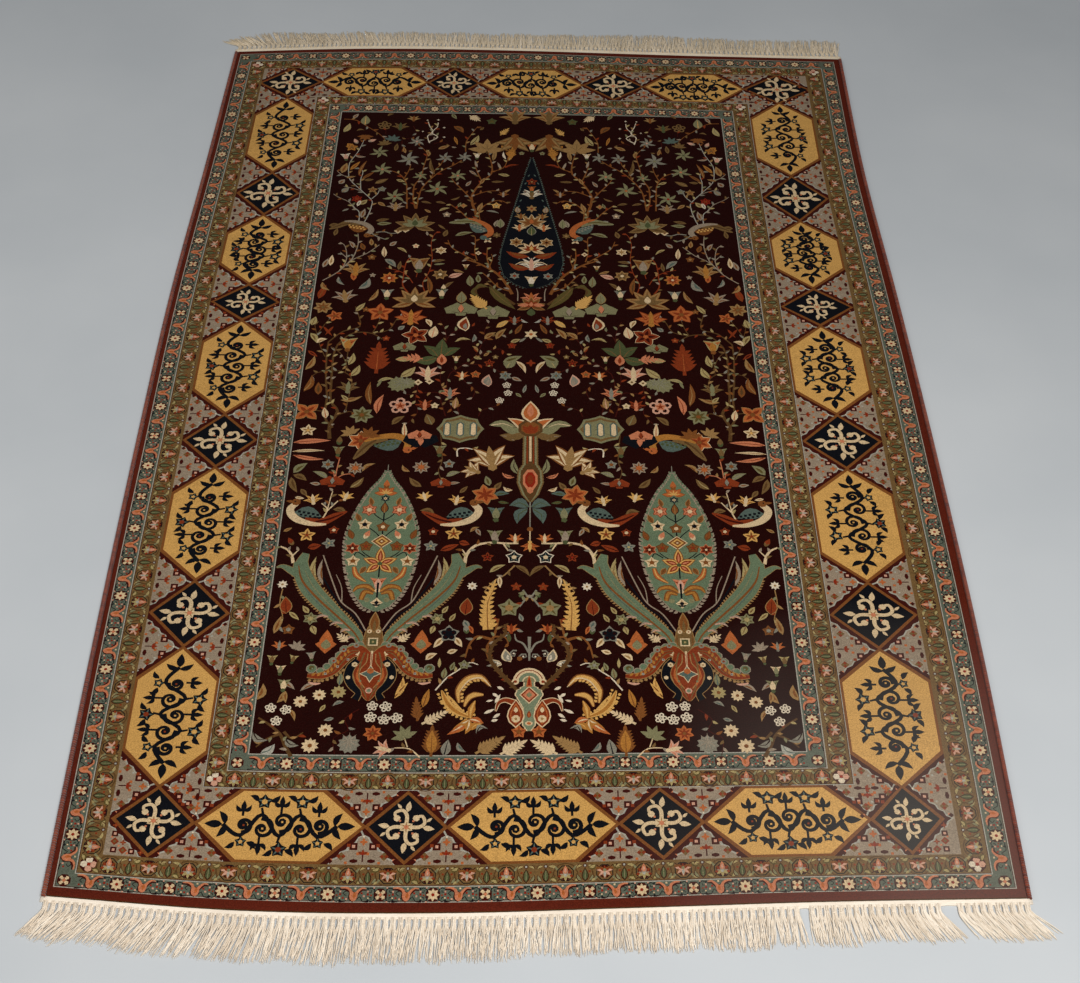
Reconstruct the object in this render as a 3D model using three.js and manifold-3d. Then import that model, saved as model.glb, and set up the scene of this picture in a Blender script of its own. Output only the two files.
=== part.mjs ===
// A knotted pile rug that lies flat on a floor: the pile cloth, an overcast cord down each side,
// and at each end a flat-woven cotton strip with its knotted fringe.
// Millimetres, +Z up. The origin is under the middle of the pile, X runs across and Y along it.
import * as THREE from 'three';
import { mergeVertices } from 'three/addons/utils/BufferGeometryUtils.js';
import Module from 'manifold-3d';

// The weaver's rectangle, over the side cords and without the fringes
const WIDTH = 1250;
const LENGTH = 1925;
const GAP = 0.3;

// How far each edge bows outwards, from its left or near end (-1) to its other end (1)
const EDGE_BOW = [
  { along: -1.0, left: 4, right: 4, near: -4, far: 6 },
  { along: -0.6, left: 14, right: 15, near: 17, far: 24 },
  { along: -0.2, left: 21, right: 16, near: 21, far: 25 },
  { along: 0.2, left: 24, right: 12, near: 14, far: 18 },
  { along: 0.6, left: 16, right: 4, near: 6, far: 10 },
  { along: 1.0, left: 10, right: 10, near: 2, far: 5 },
];

// The pile cloth: full thickness, lower along its rim, and the soft rise and fall of its top
const PILE = { thickness: 6, rim: 4.6, rimWidth: 8, acrossCells: 18, alongCells: 28, trim: 1 };
const SWELLS = [
  { rise: 0.5, across: 540, along: 760, turn: 0.4 },
  { rise: 0.35, across: -310, along: 430, turn: 1.7 },
];

// A side cord has a flattened round section that rests on the floor
const CORD = { width: 7, height: 6.4, sides: 10, steps: 44 };

// The cotton strip, and the strands that hang from it, each with a knot near its root
const STRIP = { thickness: 2.4, steps: 36 };
const STRANDS_PER_END = 132;
const STRAND = { root: 2.5, knotAt: 7, taperAt: 12, bendAt: 32, length: 60 };
const STRAND_STATIONS = [
  { at: -STRAND.root, width: 3.2, height: 1.8 },
  { at: STRAND.knotAt, width: 5.2, height: 3.0 },
  { at: STRAND.taperAt, width: 3.6, height: 2.0 },
  { at: STRAND.bendAt, width: 4.8, height: 1.8 },
  { at: STRAND.length, width: 2.2, height: 0.8 },
];
const TUFT = { strands: 11, pinch: 3.5, shorter: 0.1 };

// The two ends: which way each one faces, the depth of its strip, the lie of its strands (their lean
// in degrees, right being positive, and their reach) and where strands have worn away
const NEAR_END = {
  facing: -1,
  stripDepth: 8,
  lie: [
    { across: -1.0, lean: -30, reach: 0.95 },
    { across: -0.93, lean: -42, reach: 1.0 },
    { across: -0.82, lean: -34, reach: 1.02 },
    { across: -0.7, lean: -26, reach: 1.08 },
    { across: -0.5, lean: -12, reach: 1.03 },
    { across: -0.25, lean: -4, reach: 1.02 },
    { across: 0.0, lean: -2, reach: 0.87 },
    { across: 0.25, lean: 1, reach: 0.86 },
    { across: 0.5, lean: 0, reach: 0.87 },
    { across: 0.57, lean: 7, reach: 0.86 },
    { across: 0.7, lean: 20, reach: 0.85 },
    { across: 0.8, lean: 32, reach: 0.93 },
    { across: 1.0, lean: 42, reach: 0.98 },
  ],
  bare: [
    { from: 0.531, to: 0.543 },
    { from: 0.824, to: 0.85 },
  ],
};
const FAR_END = {
  facing: 1,
  stripDepth: 14,
  lie: [
    { across: -1.0, lean: -60, reach: 0.85 },
    { across: -0.93, lean: -42, reach: 0.95 },
    { across: -0.85, lean: -16, reach: 1.1 },
    { across: -0.75, lean: -24, reach: 1.0 },
    { across: -0.5, lean: -8, reach: 0.95 },
    { across: 0.0, lean: 2, reach: 0.95 },
    { across: 0.35, lean: 4, reach: 1.12 },
    { across: 0.5, lean: 2, reach: 1.1 },
    { across: 0.7, lean: 6, reach: 1.0 },
    { across: 1.0, lean: 4, reach: 1.05 },
  ],
  bare: [],
};

const wasm = await Module();
wasm.setup();

// The value of a table's column at a place between its rows, on a smooth curve through them
function between(rows, place, key, column) {
  const last = rows.length - 1;
  const at = Math.min(Math.max(place, rows[0][key]), rows[last][key]);
  let i = 0;
  while (i < last - 1 && at > rows[i + 1][key]) i += 1;
  const span = rows[i + 1][key] - rows[i][key];
  const slope = (j) => {
    const a = Math.max(j - 1, 0);
    const b = Math.min(j + 1, last);
    return (rows[b][column] - rows[a][column]) / (rows[b][key] - rows[a][key]) * span;
  };
  const t = (at - rows[i][key]) / span;
  const t2 = t * t;
  const t3 = t2 * t;
  return rows[i][column] * (2 * t3 - 3 * t2 + 1) + slope(i) * (t3 - 2 * t2 + t)
    + rows[i + 1][column] * (3 * t2 - 2 * t3) + slope(i + 1) * (t3 - t2);
}

// Where a point of the weaver's rectangle lies on the floor: the edges bow, the middle stays
function laid(x, y) {
  const u = Math.min(Math.max(x / (WIDTH / 2), -1), 1);
  const v = Math.min(Math.max(y / (LENGTH / 2), -1), 1);
  const side = between(EDGE_BOW, v, 'along', u < 0 ? 'left' : 'right');
  const end = between(EDGE_BOW, u, 'along', v < 0 ? 'near' : 'far');
  return [x + side * u ** 3, y + end * v ** 3];
}

// How much the top of the pile rises there
function swell(x, y) {
  const wave = (s) => s.rise * Math.sin(2 * Math.PI * (x / s.across + y / s.along) + s.turn);
  return SWELLS.reduce((sum, s) => sum + wave(s), 0);
}

// Moves every point of a geometry by a rule and joins the points that its faces share
function shaped(geometry, rule) {
  const moved = geometry.clone();
  const position = moved.attributes.position;
  const point = new THREE.Vector3();
  for (let i = 0; i < position.count; i += 1) {
    point.fromBufferAttribute(position, i);
    rule(point);
    position.setXYZ(i, point.x, point.y, point.z);
  }
  moved.deleteAttribute('normal');
  moved.deleteAttribute('uv');
  return mergeVertices(moved, 1e-4);
}

function toSolid(geometry) {
  return new wasm.Manifold(new wasm.Mesh({
    numProp: 3,
    vertProperties: new Float32Array(geometry.attributes.position.array),
    triVerts: new Uint32Array(geometry.index.array),
  }));
}

function toGeometry(solid) {
  const mesh = solid.getMesh();
  const geometry = new THREE.BufferGeometry();
  geometry.setAttribute('position', new THREE.BufferAttribute(mesh.vertProperties, 3));
  geometry.setIndex(new THREE.BufferAttribute(mesh.triVerts, 1));
  return geometry;
}

// Spreads the even stations of a grid so that its outermost cells are only as wide as the rim
function besideRim(place, half, cells) {
  const inner = half * (1 - 2 / cells);
  const onRim = Math.abs(place) > (inner + half) / 2;
  return onRim ? place : place * (half - PILE.rimWidth) / inner;
}

// The pile: a slab with a softly uneven top, whose underside is trimmed to one level face
function pileGeometry() {
  const across = WIDTH - 2 * (CORD.width + GAP);
  const slab = shaped(
    new THREE.BoxGeometry(across, LENGTH, 1, PILE.acrossCells, PILE.alongCells, 1),
    (p) => {
      const x = besideRim(p.x, across / 2, PILE.acrossCells);
      const y = besideRim(p.y, LENGTH / 2, PILE.alongCells);
      const inside = Math.min(across / 2 - Math.abs(x), LENGTH / 2 - Math.abs(y));
      const top = inside < PILE.rimWidth / 2 ? PILE.rim : PILE.thickness + swell(x, y);
      const [onFloorX, onFloorY] = laid(x, y);
      p.set(onFloorX, onFloorY, p.z > 0 ? top : -PILE.trim);
    },
  );
  const below = new THREE.BoxGeometry(2 * WIDTH, 2 * LENGTH, 2 * PILE.trim);
  below.translate(0, 0, -PILE.trim);
  return toGeometry(toSolid(slab).subtract(toSolid(shaped(below, () => {}))));
}

// A side cord: a round section, flattened where it lies on the floor, along the rug's side
function cordGeometry(side) {
  const section = new THREE.Shape();
  for (let i = 0; i < CORD.sides; i += 1) {
    const angle = 2 * Math.PI * (i + 0.5) / CORD.sides;
    const height = CORD.height * (0.5 + 0.5 * Math.sin(angle) / Math.cos(Math.PI / CORD.sides));
    const corner = [CORD.width / 2 * Math.cos(angle), Math.min(Math.max(height, 0), CORD.height)];
    if (i === 0) section.moveTo(...corner);
    else section.lineTo(...corner);
  }
  section.closePath();
  const straight = new THREE.ExtrudeGeometry(section, {
    depth: LENGTH, steps: CORD.steps, bevelEnabled: false,
  });
  return shaped(straight, (p) => {
    const x = side * (WIDTH - CORD.width) / 2 + p.x;
    const [onFloorX, onFloorY] = laid(x, LENGTH / 2 - p.z);
    p.set(onFloorX, onFloorY, p.y);
  });
}

// The flat-woven strip beyond one end of the pile
function stripGeometry(end) {
  const middle = LENGTH / 2 + GAP + end.stripDepth / 2;
  const block = new THREE.BoxGeometry(WIDTH, end.stripDepth, STRIP.thickness, STRIP.steps, 1, 1);
  return shaped(block, (p) => {
    const [x, y] = laid(p.x, end.facing * middle);
    p.set(x, y + p.y, p.z + STRIP.thickness / 2);
  });
}

// One four-sided strand: it leaves the strip squarely, is knotted, then lies over to its lean
function strandGeometry(end, across, index) {
  const segments = STRAND_STATIONS.length - 1;
  const [startX, startY] = laid(
    across * (WIDTH - CORD.width) / 2,
    end.facing * (LENGTH / 2 + GAP + end.stripDepth),
  );
  const inTuft = 2 * ((index % TUFT.strands) + 0.5) / TUFT.strands - 1;
  const lean = THREE.MathUtils.degToRad(between(end.lie, across, 'across', 'lean'));
  const reach = between(end.lie, across, 'across', 'reach') * (1 - TUFT.shorter * inTuft ** 2);
  return shaped(new THREE.BoxGeometry(1, 1, 1, 1, segments, 1), (p) => {
    const row = Math.round((end.facing * p.y + 0.5) * segments);
    const station = STRAND_STATIONS[row];
    const past = Math.max(station.at - STRAND.taperAt, 0) * reach;
    const out = Math.min(station.at, STRAND.taperAt) + past * Math.cos(lean);
    const drift = past * Math.sin(lean) - TUFT.pinch * inTuft * past / STRAND.length;
    p.set(
      startX + drift + p.x * station.width,
      startY + end.facing * out,
      (p.z + 0.5) * station.height,
    );
  });
}

// One end of the rug: its strip with all its strands fused into it at their roots
function fringeGeometry(end) {
  let whole = toSolid(stripGeometry(end));
  for (let index = 0; index < STRANDS_PER_END; index += 1) {
    const across = 2 * (index + 0.5) / STRANDS_PER_END - 1;
    const worn = end.bare.some((place) => across > place.from && across < place.to);
    if (!worn) whole = whole.add(toSolid(strandGeometry(end, across, index)));
  }
  return toGeometry(whole);
}

const silkPile = new THREE.MeshStandardMaterial({ color: 0x3a1410, roughness: 0.8, metalness: 0 });
const rustYarn = new THREE.MeshStandardMaterial({ color: 0x7a2c14, roughness: 0.85, metalness: 0 });
const cotton = new THREE.MeshStandardMaterial({ color: 0xe6dccb, roughness: 0.9, metalness: 0 });

const rug = new THREE.Group();

function addPiece(name, geometry, material) {
  const mesh = new THREE.Mesh(geometry, material);
  mesh.name = name;
  rug.add(mesh);
}

addPiece('pile_body', pileGeometry(), silkPile);
addPiece('selvedge_left', cordGeometry(-1), rustYarn);
addPiece('selvedge_right', cordGeometry(1), rustYarn.clone());
addPiece('fringe_near', fringeGeometry(NEAR_END), cotton);
addPiece('fringe_far', fringeGeometry(FAR_END), cotton.clone());

export default rug;
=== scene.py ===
# A knotted pile rug that lies on a floor: its drawing in coloured yarns, its cords, strips and fringes.
import cmath
import math
import random

import bpy
from mathutils import Euler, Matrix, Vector
from mathutils.geometry import delaunay_2d_cdt


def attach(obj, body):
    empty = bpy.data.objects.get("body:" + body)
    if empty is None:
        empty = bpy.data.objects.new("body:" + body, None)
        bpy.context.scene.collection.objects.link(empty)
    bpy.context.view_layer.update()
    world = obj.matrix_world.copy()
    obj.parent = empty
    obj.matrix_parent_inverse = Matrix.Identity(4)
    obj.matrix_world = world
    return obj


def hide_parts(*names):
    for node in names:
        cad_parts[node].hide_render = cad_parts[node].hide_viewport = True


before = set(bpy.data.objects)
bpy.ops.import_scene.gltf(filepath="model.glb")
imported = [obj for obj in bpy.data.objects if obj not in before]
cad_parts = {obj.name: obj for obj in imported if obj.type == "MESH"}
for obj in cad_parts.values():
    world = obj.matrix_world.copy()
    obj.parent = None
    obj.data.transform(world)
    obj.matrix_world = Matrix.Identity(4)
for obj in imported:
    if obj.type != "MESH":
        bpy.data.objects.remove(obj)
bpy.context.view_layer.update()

MM = 0.001

# The weaver's rectangle in millimetres: the origin under its middle, +Y to the far end
WIDTH = 1250
LENGTH = 1925

# The gap between two pieces, and the heights and widths of cord and pile
GAP = 0.3
CORD = {"width": 7, "height": 6.4, "core": 2.5, "yarn": 1.9, "pitch": 3.5, "lean": 0.3, "steps": 60}
PILE = {"thickness": 6, "rim": 4.6, "rim_width": 8, "foot": 1.2}
GROUND_HEIGHT = 1.6

# How far each edge bows outwards, from its left or near end to its other end
EDGE_BOW = [
    {"along": -1.0, "left": 4, "right": 4, "near": -4, "far": 6},
    {"along": -0.6, "left": 14, "right": 15, "near": 17, "far": 24},
    {"along": -0.2, "left": 21, "right": 16, "near": 21, "far": 25},
    {"along": 0.2, "left": 24, "right": 12, "near": 14, "far": 18},
    {"along": 0.6, "left": 16, "right": 4, "near": 6, "far": 10},
    {"along": 1.0, "left": 10, "right": 10, "near": 2, "far": 5},
]

# The soft rise and fall of the pile's top
SWELLS = [
    {"rise": 0.5, "across": 540, "along": 760, "turn": 0.4},
    {"rise": 0.35, "across": -310, "along": 430, "turn": 1.7},
]


def between(rows, place, key, column):
    """A column's value at a place between a table's rows, on a smooth curve through them."""
    last = len(rows) - 1
    at = min(max(place, rows[0][key]), rows[last][key])
    i = 0
    while i < last - 1 and at > rows[i + 1][key]:
        i += 1
    span = rows[i + 1][key] - rows[i][key]

    def slope(j):
        a = max(j - 1, 0)
        b = min(j + 1, last)
        return (rows[b][column] - rows[a][column]) / (rows[b][key] - rows[a][key]) * span

    t = (at - rows[i][key]) / span
    t2 = t * t
    t3 = t2 * t
    start = rows[i][column] * (2 * t3 - 3 * t2 + 1) + slope(i) * (t3 - 2 * t2 + t)
    return start + rows[i + 1][column] * (3 * t2 - 2 * t3) + slope(i + 1) * (t3 - t2)


def laid(x, y):
    """Where a point of the weaver's rectangle lies on the floor: the edges bow, the middle stays."""
    u = min(max(x / (WIDTH / 2), -1), 1)
    v = min(max(y / (LENGTH / 2), -1), 1)
    side = between(EDGE_BOW, v, "along", "left" if u < 0 else "right")
    end = between(EDGE_BOW, u, "along", "near" if v < 0 else "far")
    return x + side * u**3, y + end * v**3


def straightened(place):
    """The point of the weaver's rectangle that lies at a place on the floor."""
    found = place
    for _ in range(3):
        x, y = laid(found.real, found.imag)
        found += place - complex(x, y)
    return found


def swell(x, y):
    """How much the pile's top rises at a point of the weaver's rectangle."""
    rise = 0
    for wave in SWELLS:
        turns = x / wave["across"] + y / wave["along"]
        rise += wave["rise"] * math.sin(math.tau * turns + wave["turn"])
    return rise


def pile_top(x, y):
    """The height of the pile, which rounds down to its rim."""
    inside = min(WIDTH / 2 - CORD["width"] - GAP - abs(x), LENGTH / 2 - abs(y))
    full = PILE["thickness"] + swell(x, y)
    if inside >= PILE["rim_width"]:
        return full
    drop = 1 - max(inside, 0) / PILE["rim_width"]
    return full - (full - PILE["rim"]) * (1 - math.sqrt(1 - drop**2))


# The camera stands at the near end, as in the photograph, and its frame is a little off the middle
CAMERA = {
    "place": (-0.0140, -1.9340, 1.8290),
    "turn": (42.43, -1.26, -0.77),
    "film": 36,
    "lens": 52.64,
    "shift_x": -0.0285,
}


def stand_camera():
    """Sets up the camera of the photograph."""
    data = bpy.data.cameras.new("camera")
    data.sensor_width = CAMERA["film"]
    data.lens = CAMERA["lens"]
    data.shift_x = CAMERA["shift_x"]
    camera = bpy.data.objects.new("camera", data)
    camera.location = CAMERA["place"]
    camera.rotation_euler = Euler([math.radians(a) for a in CAMERA["turn"]])
    bpy.context.scene.collection.objects.link(camera)
    bpy.context.scene.camera = camera


class Value:
    """A number that varies over a surface: an expression on values adds its Math nodes."""

    def __init__(self, wiring, socket):
        self.wiring = wiring
        self.socket = socket

    def _math(self, operation, *others):
        return self.wiring.node("ShaderNodeMath", {"operation": operation}, *others)

    def __add__(self, other):
        return self._math("ADD", self, other)

    __radd__ = __add__

    def __sub__(self, other):
        return self._math("SUBTRACT", self, other)

    def __rsub__(self, other):
        return self._math("SUBTRACT", other, self)

    def __mul__(self, other):
        return self._math("MULTIPLY", self, other)

    __rmul__ = __mul__


class Wiring:
    """A node tree under construction."""

    def put(self, socket, value):
        if isinstance(value, Value):
            self.tree.links.new(value.socket, socket)
        else:
            socket.default_value = value

    def node(self, kind, settings, *values, out=0, **named):
        """Any node: its settings first, then its sockets by order or by name."""
        node = self.tree.nodes.new(kind)
        for key, value in settings.items():
            setattr(node, key, value)
        for socket, value in zip(node.inputs, values):
            self.put(socket, value)
        for key, value in named.items():
            name = key.replace("_", " ")
            self.put(next(s for s in node.inputs if s.name == name and s.enabled), value)
        return Value(self, [s for s in node.outputs if s.enabled][out])


class Finish(Wiring):
    """A material under construction, with its Principled surface."""

    def __init__(self, name):
        self.material = bpy.data.materials.new(name)
        self.material.use_nodes = True
        self.tree = self.material.node_tree
        self.tree.nodes.clear()
        output = self.tree.nodes.new("ShaderNodeOutputMaterial")
        self.surface = self.tree.nodes.new("ShaderNodeBsdfPrincipled")
        self.tree.links.new(self.surface.outputs[0], output.inputs[0])

    def mix(self, factor, first, second, blend="MIX"):
        """One colour over another."""
        settings = {"data_type": "RGBA", "blend_type": blend}
        return self.node("ShaderNodeMix", settings, Factor=factor, A=first, B=second)

    def place(self, scale=(1, 1, 1), turn=(0, 0, 0)):
        """Object coordinates, turned and scaled."""
        place = self.node("ShaderNodeTexCoord", {}, out=3)
        angles = [math.radians(a) for a in turn]
        return self.node("ShaderNodeMapping", {}, Vector=place, Rotation=angles, Scale=scale)

    def noise(self, scale, detail=2.0, stretch=(1, 1, 1), turn=(0, 0, 0)):
        place = self.place(stretch, turn)
        return self.node("ShaderNodeTexNoise", {}, Vector=place, Scale=scale, Detail=detail)

    def spread(self, value, low, high, to_low=0.0, to_high=1.0):
        """A value's range stretched onto another range."""
        names = {"From_Min": low, "From_Max": high, "To_Min": to_low, "To_Max": to_high}
        return self.node("ShaderNodeMapRange", {}, Value=value, **names)

    def shade(self, **sockets):
        for key, value in sockets.items():
            self.put(self.surface.inputs[key.replace("_", " ")], value)
        return self.material


def linear(code):
    """A dyer's colour code as the light it gives back."""
    parts = [int(code[i : i + 2], 16) / 255 for i in (1, 3, 5)]
    return tuple(p / 12.92 if p <= 0.04045 else ((p + 0.055) / 1.055) ** 2.4 for p in parts) + (1.0,)


# The dyed yarns of the pile
YARNS = {
    "wine": "#1f0301",
    "plum": "#3a0f08",
    "rust margin": "#551c0e",
    "navy": "#0b0c11",
    "teal": "#5f6c51",
    "sea": "#6f765a",
    "guard": "#565b4c",
    "slate": "#4e5a50",
    "olive": "#6b502d",
    "moss": "#544722",
    "leaf": "#474c2d",
    "sage": "#77714f",
    "straw": "#9c8858",
    "gold": "#c3934f",
    "amber": "#a0692c",
    "orange": "#a5582b",
    "salmon": "#b86f4c",
    "pink": "#bf8e74",
    "cream": "#c9ad84",
    "white": "#cdbb9f",
    "pale": "#9c9686",
    "rose": "#8d7b66",
    "rust": "#7a3014",
    "red": "#82210f",
    "maroon": "#3a0b05",
    "brown": "#74441e",
    "bark": "#53381c",
    "tan": "#8f6c40",
    "grey": "#7c7564",
}


# The darker yarn that shades each petal or leaf
SHADES = {
    "orange": "rust",
    "gold": "brown",
    "amber": "brown",
    "cream": "tan",
    "white": "grey",
    "pink": "salmon",
    "salmon": "rust",
    "rose": "brown",
    "sage": "moss",
    "olive": "bark",
    "straw": "olive",
    "tan": "brown",
    "grey": "slate",
    "slate": "leaf",
    "leaf": "moss",
    "moss": "bark",
    "rust": "maroon",
    "brown": "bark",
    "red": "maroon",
    "navy": "slate",
    "maroon": "rust",
    "teal": "slate",
    "pale": "grey",
}


class Pen:
    """Draws filled shapes on the weaver's graph, set down, turned, scaled or mirrored."""

    def __init__(self, shapes, origin=0j, step=1 + 0j, mirrored=False, lay=None):
        self.shapes = shapes
        self.origin = origin
        self.step = step
        self.mirrored = mirrored
        self.lay = lay

    def point(self, place):
        return self.origin + self.step * (-place.conjugate() if self.mirrored else place)

    def at(self, place, size=1.0, turn=0.0, mirrored=False):
        """The same pen set down elsewhere: turn is in degrees, mirrored swaps left and right."""
        step = cmath.rect(size, math.radians(turn))
        own = self.step * (step.conjugate() if self.mirrored else step)
        return Pen(self.shapes, self.point(complex(place)), own, self.mirrored != mirrored, self.lay)

    def fill(self, yarn, outline):
        points = [self.point(complex(p)) for p in outline]
        if self.lay:
            points = [self.lay(p) for p in points]
        doubled = sum((a.conjugate() * b).imag for a, b in zip(points, points[1:] + points[:1]))
        self.shapes.append((yarn, points if doubled > 0 else points[::-1]))

    def disc(self, yarn, radius, sides=8, tall=1.0, middle=0j):
        sides = min(sides, 4 if radius < 1.7 else 5 if radius < 2.6 else 8)
        self.fill(yarn, [middle + complex(p.real, p.imag * tall) for p in ring(radius, sides)])

    def box(self, yarn, low, high):
        self.fill(yarn, [low, complex(high.real, low.imag), high, complex(low.real, high.imag)])

    def leaf(self, yarn, tip, width, bend=0.0, steps=5, teeth=0.0):
        if not teeth:
            steps = min(steps, 3 if abs(tip) < 8.5 else 4 if abs(tip) < 14 else 5)
        self.fill(yarn, leaf_outline(complex(tip), width, bend, steps, teeth))

    def stem(self, yarn, path, start, end=None, pieces=4):
        """A stroke on a smooth curve through a path, from one width to another."""
        line = smooth([complex(p) for p in path], pieces)
        finish = start if end is None else end
        edges = []
        for i, p in enumerate(line):
            ahead = line[min(i + 1, len(line) - 1)] - line[max(i - 1, 0)]
            across = ahead / (abs(ahead) or 1) * 1j
            half = (start + (finish - start) * i / (len(line) - 1)) / 2
            edges.append((p + across * half, p - across * half))
        self.strip(yarn, edges)

    def strip(self, yarn, edges):
        """Fills the stroke between pairs of edge points, leaving out pieces that turn over."""
        for (a, b), (c, d) in zip(edges, edges[1:]):
            corners_ahead = [((p - a).conjugate() * (q - a)).imag for p, q in ((b, d), (d, c))]
            if corners_ahead[0] * corners_ahead[1] > 1e-4:
                self.fill(yarn, [a, b, d, c])
            else:
                for piece, doubled in zip(([a, b, d], [a, d, c]), corners_ahead):
                    if abs(doubled) > 0.05:
                        self.fill(yarn, piece)

    def ribbon(self, yarn, path, widths, more=0.0, pieces=4):
        """A stroke whose width follows a list, with one width for each place on its path."""
        line = smooth([complex(p) for p in path], pieces)
        edges = []
        for i, p in enumerate(line):
            ahead = line[min(i + 1, len(line) - 1)] - line[max(i - 1, 0)]
            across = ahead / (abs(ahead) or 1) * 1j
            at, part = divmod(i / pieces, 1)
            low = widths[int(at)]
            high = widths[min(int(at) + 1, len(widths) - 1)]
            half = (low + (high - low) * part + more) / 2
            edges.append((p + across * half, p - across * half))
        self.strip(yarn, edges)

    def teeth(self, yarn, path, reach, width, every, side=1, lean=0.5):
        """Small pointed teeth along one side of a path, leaning along it."""
        line = smooth([complex(p) for p in path], 8)
        travelled, next_at = 0.0, every / 2
        for a, b in zip(line, line[1:]):
            travelled += abs(b - a)
            if travelled >= next_at:
                next_at += every
                ahead = (b - a) / abs(b - a)
                self.at(b).leaf(yarn, (ahead * 1j * side + ahead * lean) * reach, width, 0, 3)


def ring(radius, sides, start=0.5):
    """The corners of a regular figure round the origin."""
    return [cmath.rect(radius, math.tau * (i + start) / sides) for i in range(sides)]


def scallop(radius, lobes, dent=0.3, sides=2):
    """The outline of a round flower with a dent between its petals."""
    count = lobes * sides
    outline = []
    for i in range(count):
        angle = math.tau * i / count
        depth = dent * (0.5 - 0.5 * math.cos(lobes * angle))
        outline.append(cmath.rect(radius * (1 - depth), angle + math.pi / 2))
    return outline


def leaf_outline(tip, width, bend=0.0, steps=5, teeth=0.0):
    """A leaf that springs from the origin: fullest below its middle, bent to its left by bend."""
    side = tip / abs(tip) * 1j
    left, right = [], []
    for i in range(1, steps):
        t = i / steps
        middle = tip * t + side * bend * 4 * t * (1 - t)
        half = width / 2 * math.sin(math.pi * t**0.8)
        if teeth and i % 2:
            half *= 1 - teeth
        left.append(middle + side * half)
        right.append(middle - side * half)
    return [0j, *right, tip, *left[::-1]]


def smooth(path, pieces):
    """Points on a smooth curve through a path."""
    line = []
    for i in range(len(path) - 1):
        a = path[max(i - 1, 0)]
        b, c = path[i], path[i + 1]
        d = path[min(i + 2, len(path) - 1)]
        for k in range(pieces):
            t = k / pieces
            bend = (2 * a - 5 * b + 4 * c - d) * t**2 + (3 * b - a - 3 * c + d) * t**3
            line.append(b + ((c - a) * t + bend) / 2)
    return line + [path[-1]]


# Flowers and leaves. Their sizes are in squares of the weaver's graph, and they grow upwards


def fan(pen, yarn, count, length, width, spread=360, rim=None, rim_width=1.0, bend=0.0, steps=4):
    """Petals or leaves that spread evenly round one point."""
    whole = spread >= 360
    layers = [(rim, length + rim_width, width + 2 * rim_width)] if rim else []
    layers.append((yarn, length, width))
    for colour, reach, breadth in layers:
        for i in range(count):
            share = i / count if whole else i / max(count - 1, 1) - 0.5
            angle = math.radians(90 - spread * share)
            lean = -1 if share > 0 else 1
            pen.leaf(colour, cmath.rect(reach, angle), breadth, bend * lean, steps)


def blossom(pen, radius, petal, heart, lobes=6, rim=None):
    """A round flower seen from above."""
    if rim:
        pen.fill(rim, scallop(radius, lobes))
        radius -= 1.1
    pen.fill(petal, scallop(radius, lobes, 0.35))
    if radius > 6:
        fan(pen, SHADES[petal], lobes, radius * 0.84, radius * 0.2)
    pen.disc(heart, radius * 0.36, 6)


def daisy(pen, radius, petal, heart, count=8):
    """A flower of thin apart petals."""
    fan(pen, petal, count, radius, radius * 0.55)
    pen.disc(heart, radius * 0.28, 6)


def star(pen, radius, petal, heart, count=6, rim=None):
    """A flower of pointed petals, each shaded from its heart."""
    fan(pen, petal, count, radius, radius * 0.62, rim=rim, rim_width=0.9)
    if radius > 7:
        fan(pen, SHADES[petal], count, radius * 0.72, radius * 0.26)
    pen.disc(heart, radius * 0.22, 5)


def tulip(pen, height, petal, inner, calyx="leaf", rim=None):
    """A cup of three petals on a small calyx."""
    for side in (-1, 1):
        if rim:
            pen.leaf(rim, complex(side * height * 0.5, height * 0.97), height * 0.62, side * height * 0.24)
        pen.leaf(petal, complex(side * height * 0.45, height * 0.88), height * 0.45, side * height * 0.22)
        if height > 13:
            shaded = complex(side * height * 0.4, height * 0.74)
            pen.leaf(SHADES[petal], shaded, height * 0.16, side * height * 0.2)
    pen.leaf(inner, complex(0, height * 0.85), height * 0.4)
    pen.disc(calyx, height * 0.17, 5)


def lily(pen, height, petal, inner, rim=None):
    """A wide flower whose outer petals curl away."""
    for lean, size, bend in ((62, 0.82, 0.16), (30, 1.0, 0.1)):
        for side in (-1, 1):
            tip = cmath.rect(height * size, math.radians(90 - side * lean))
            if rim:
                pen.leaf(rim, tip * 1.07, height * 0.4, side * height * bend)
            pen.leaf(petal, tip, height * 0.28, side * height * bend)
            if height > 15:
                pen.leaf(SHADES[petal], tip * 0.82, height * 0.1, side * height * bend * 0.8, 4)
    pen.leaf(inner, complex(0, height * 0.95), height * 0.3)
    pen.disc(inner, height * 0.16, 6)


def palmette(pen, height, petal, inner, heart, rim=None):
    """A wide fan of petals round a smaller one, with a leaf at its heart."""
    fan(pen, petal, 7, height, height * 0.34, 220, rim=rim)
    fan(pen, SHADES[petal], 7, height * 0.84, height * 0.12, 220)
    fan(pen, inner, 5, height * 0.66, height * 0.3, 150)
    pen.leaf(heart, complex(0, height * 0.48), height * 0.3)


def bud(pen, length, petal, calyx="leaf"):
    """A closed flower between two small leaves."""
    pen.leaf(petal, complex(0, length), length * 0.5)
    fan(pen, calyx, 2, length * 0.5, length * 0.2, 50)


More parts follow.
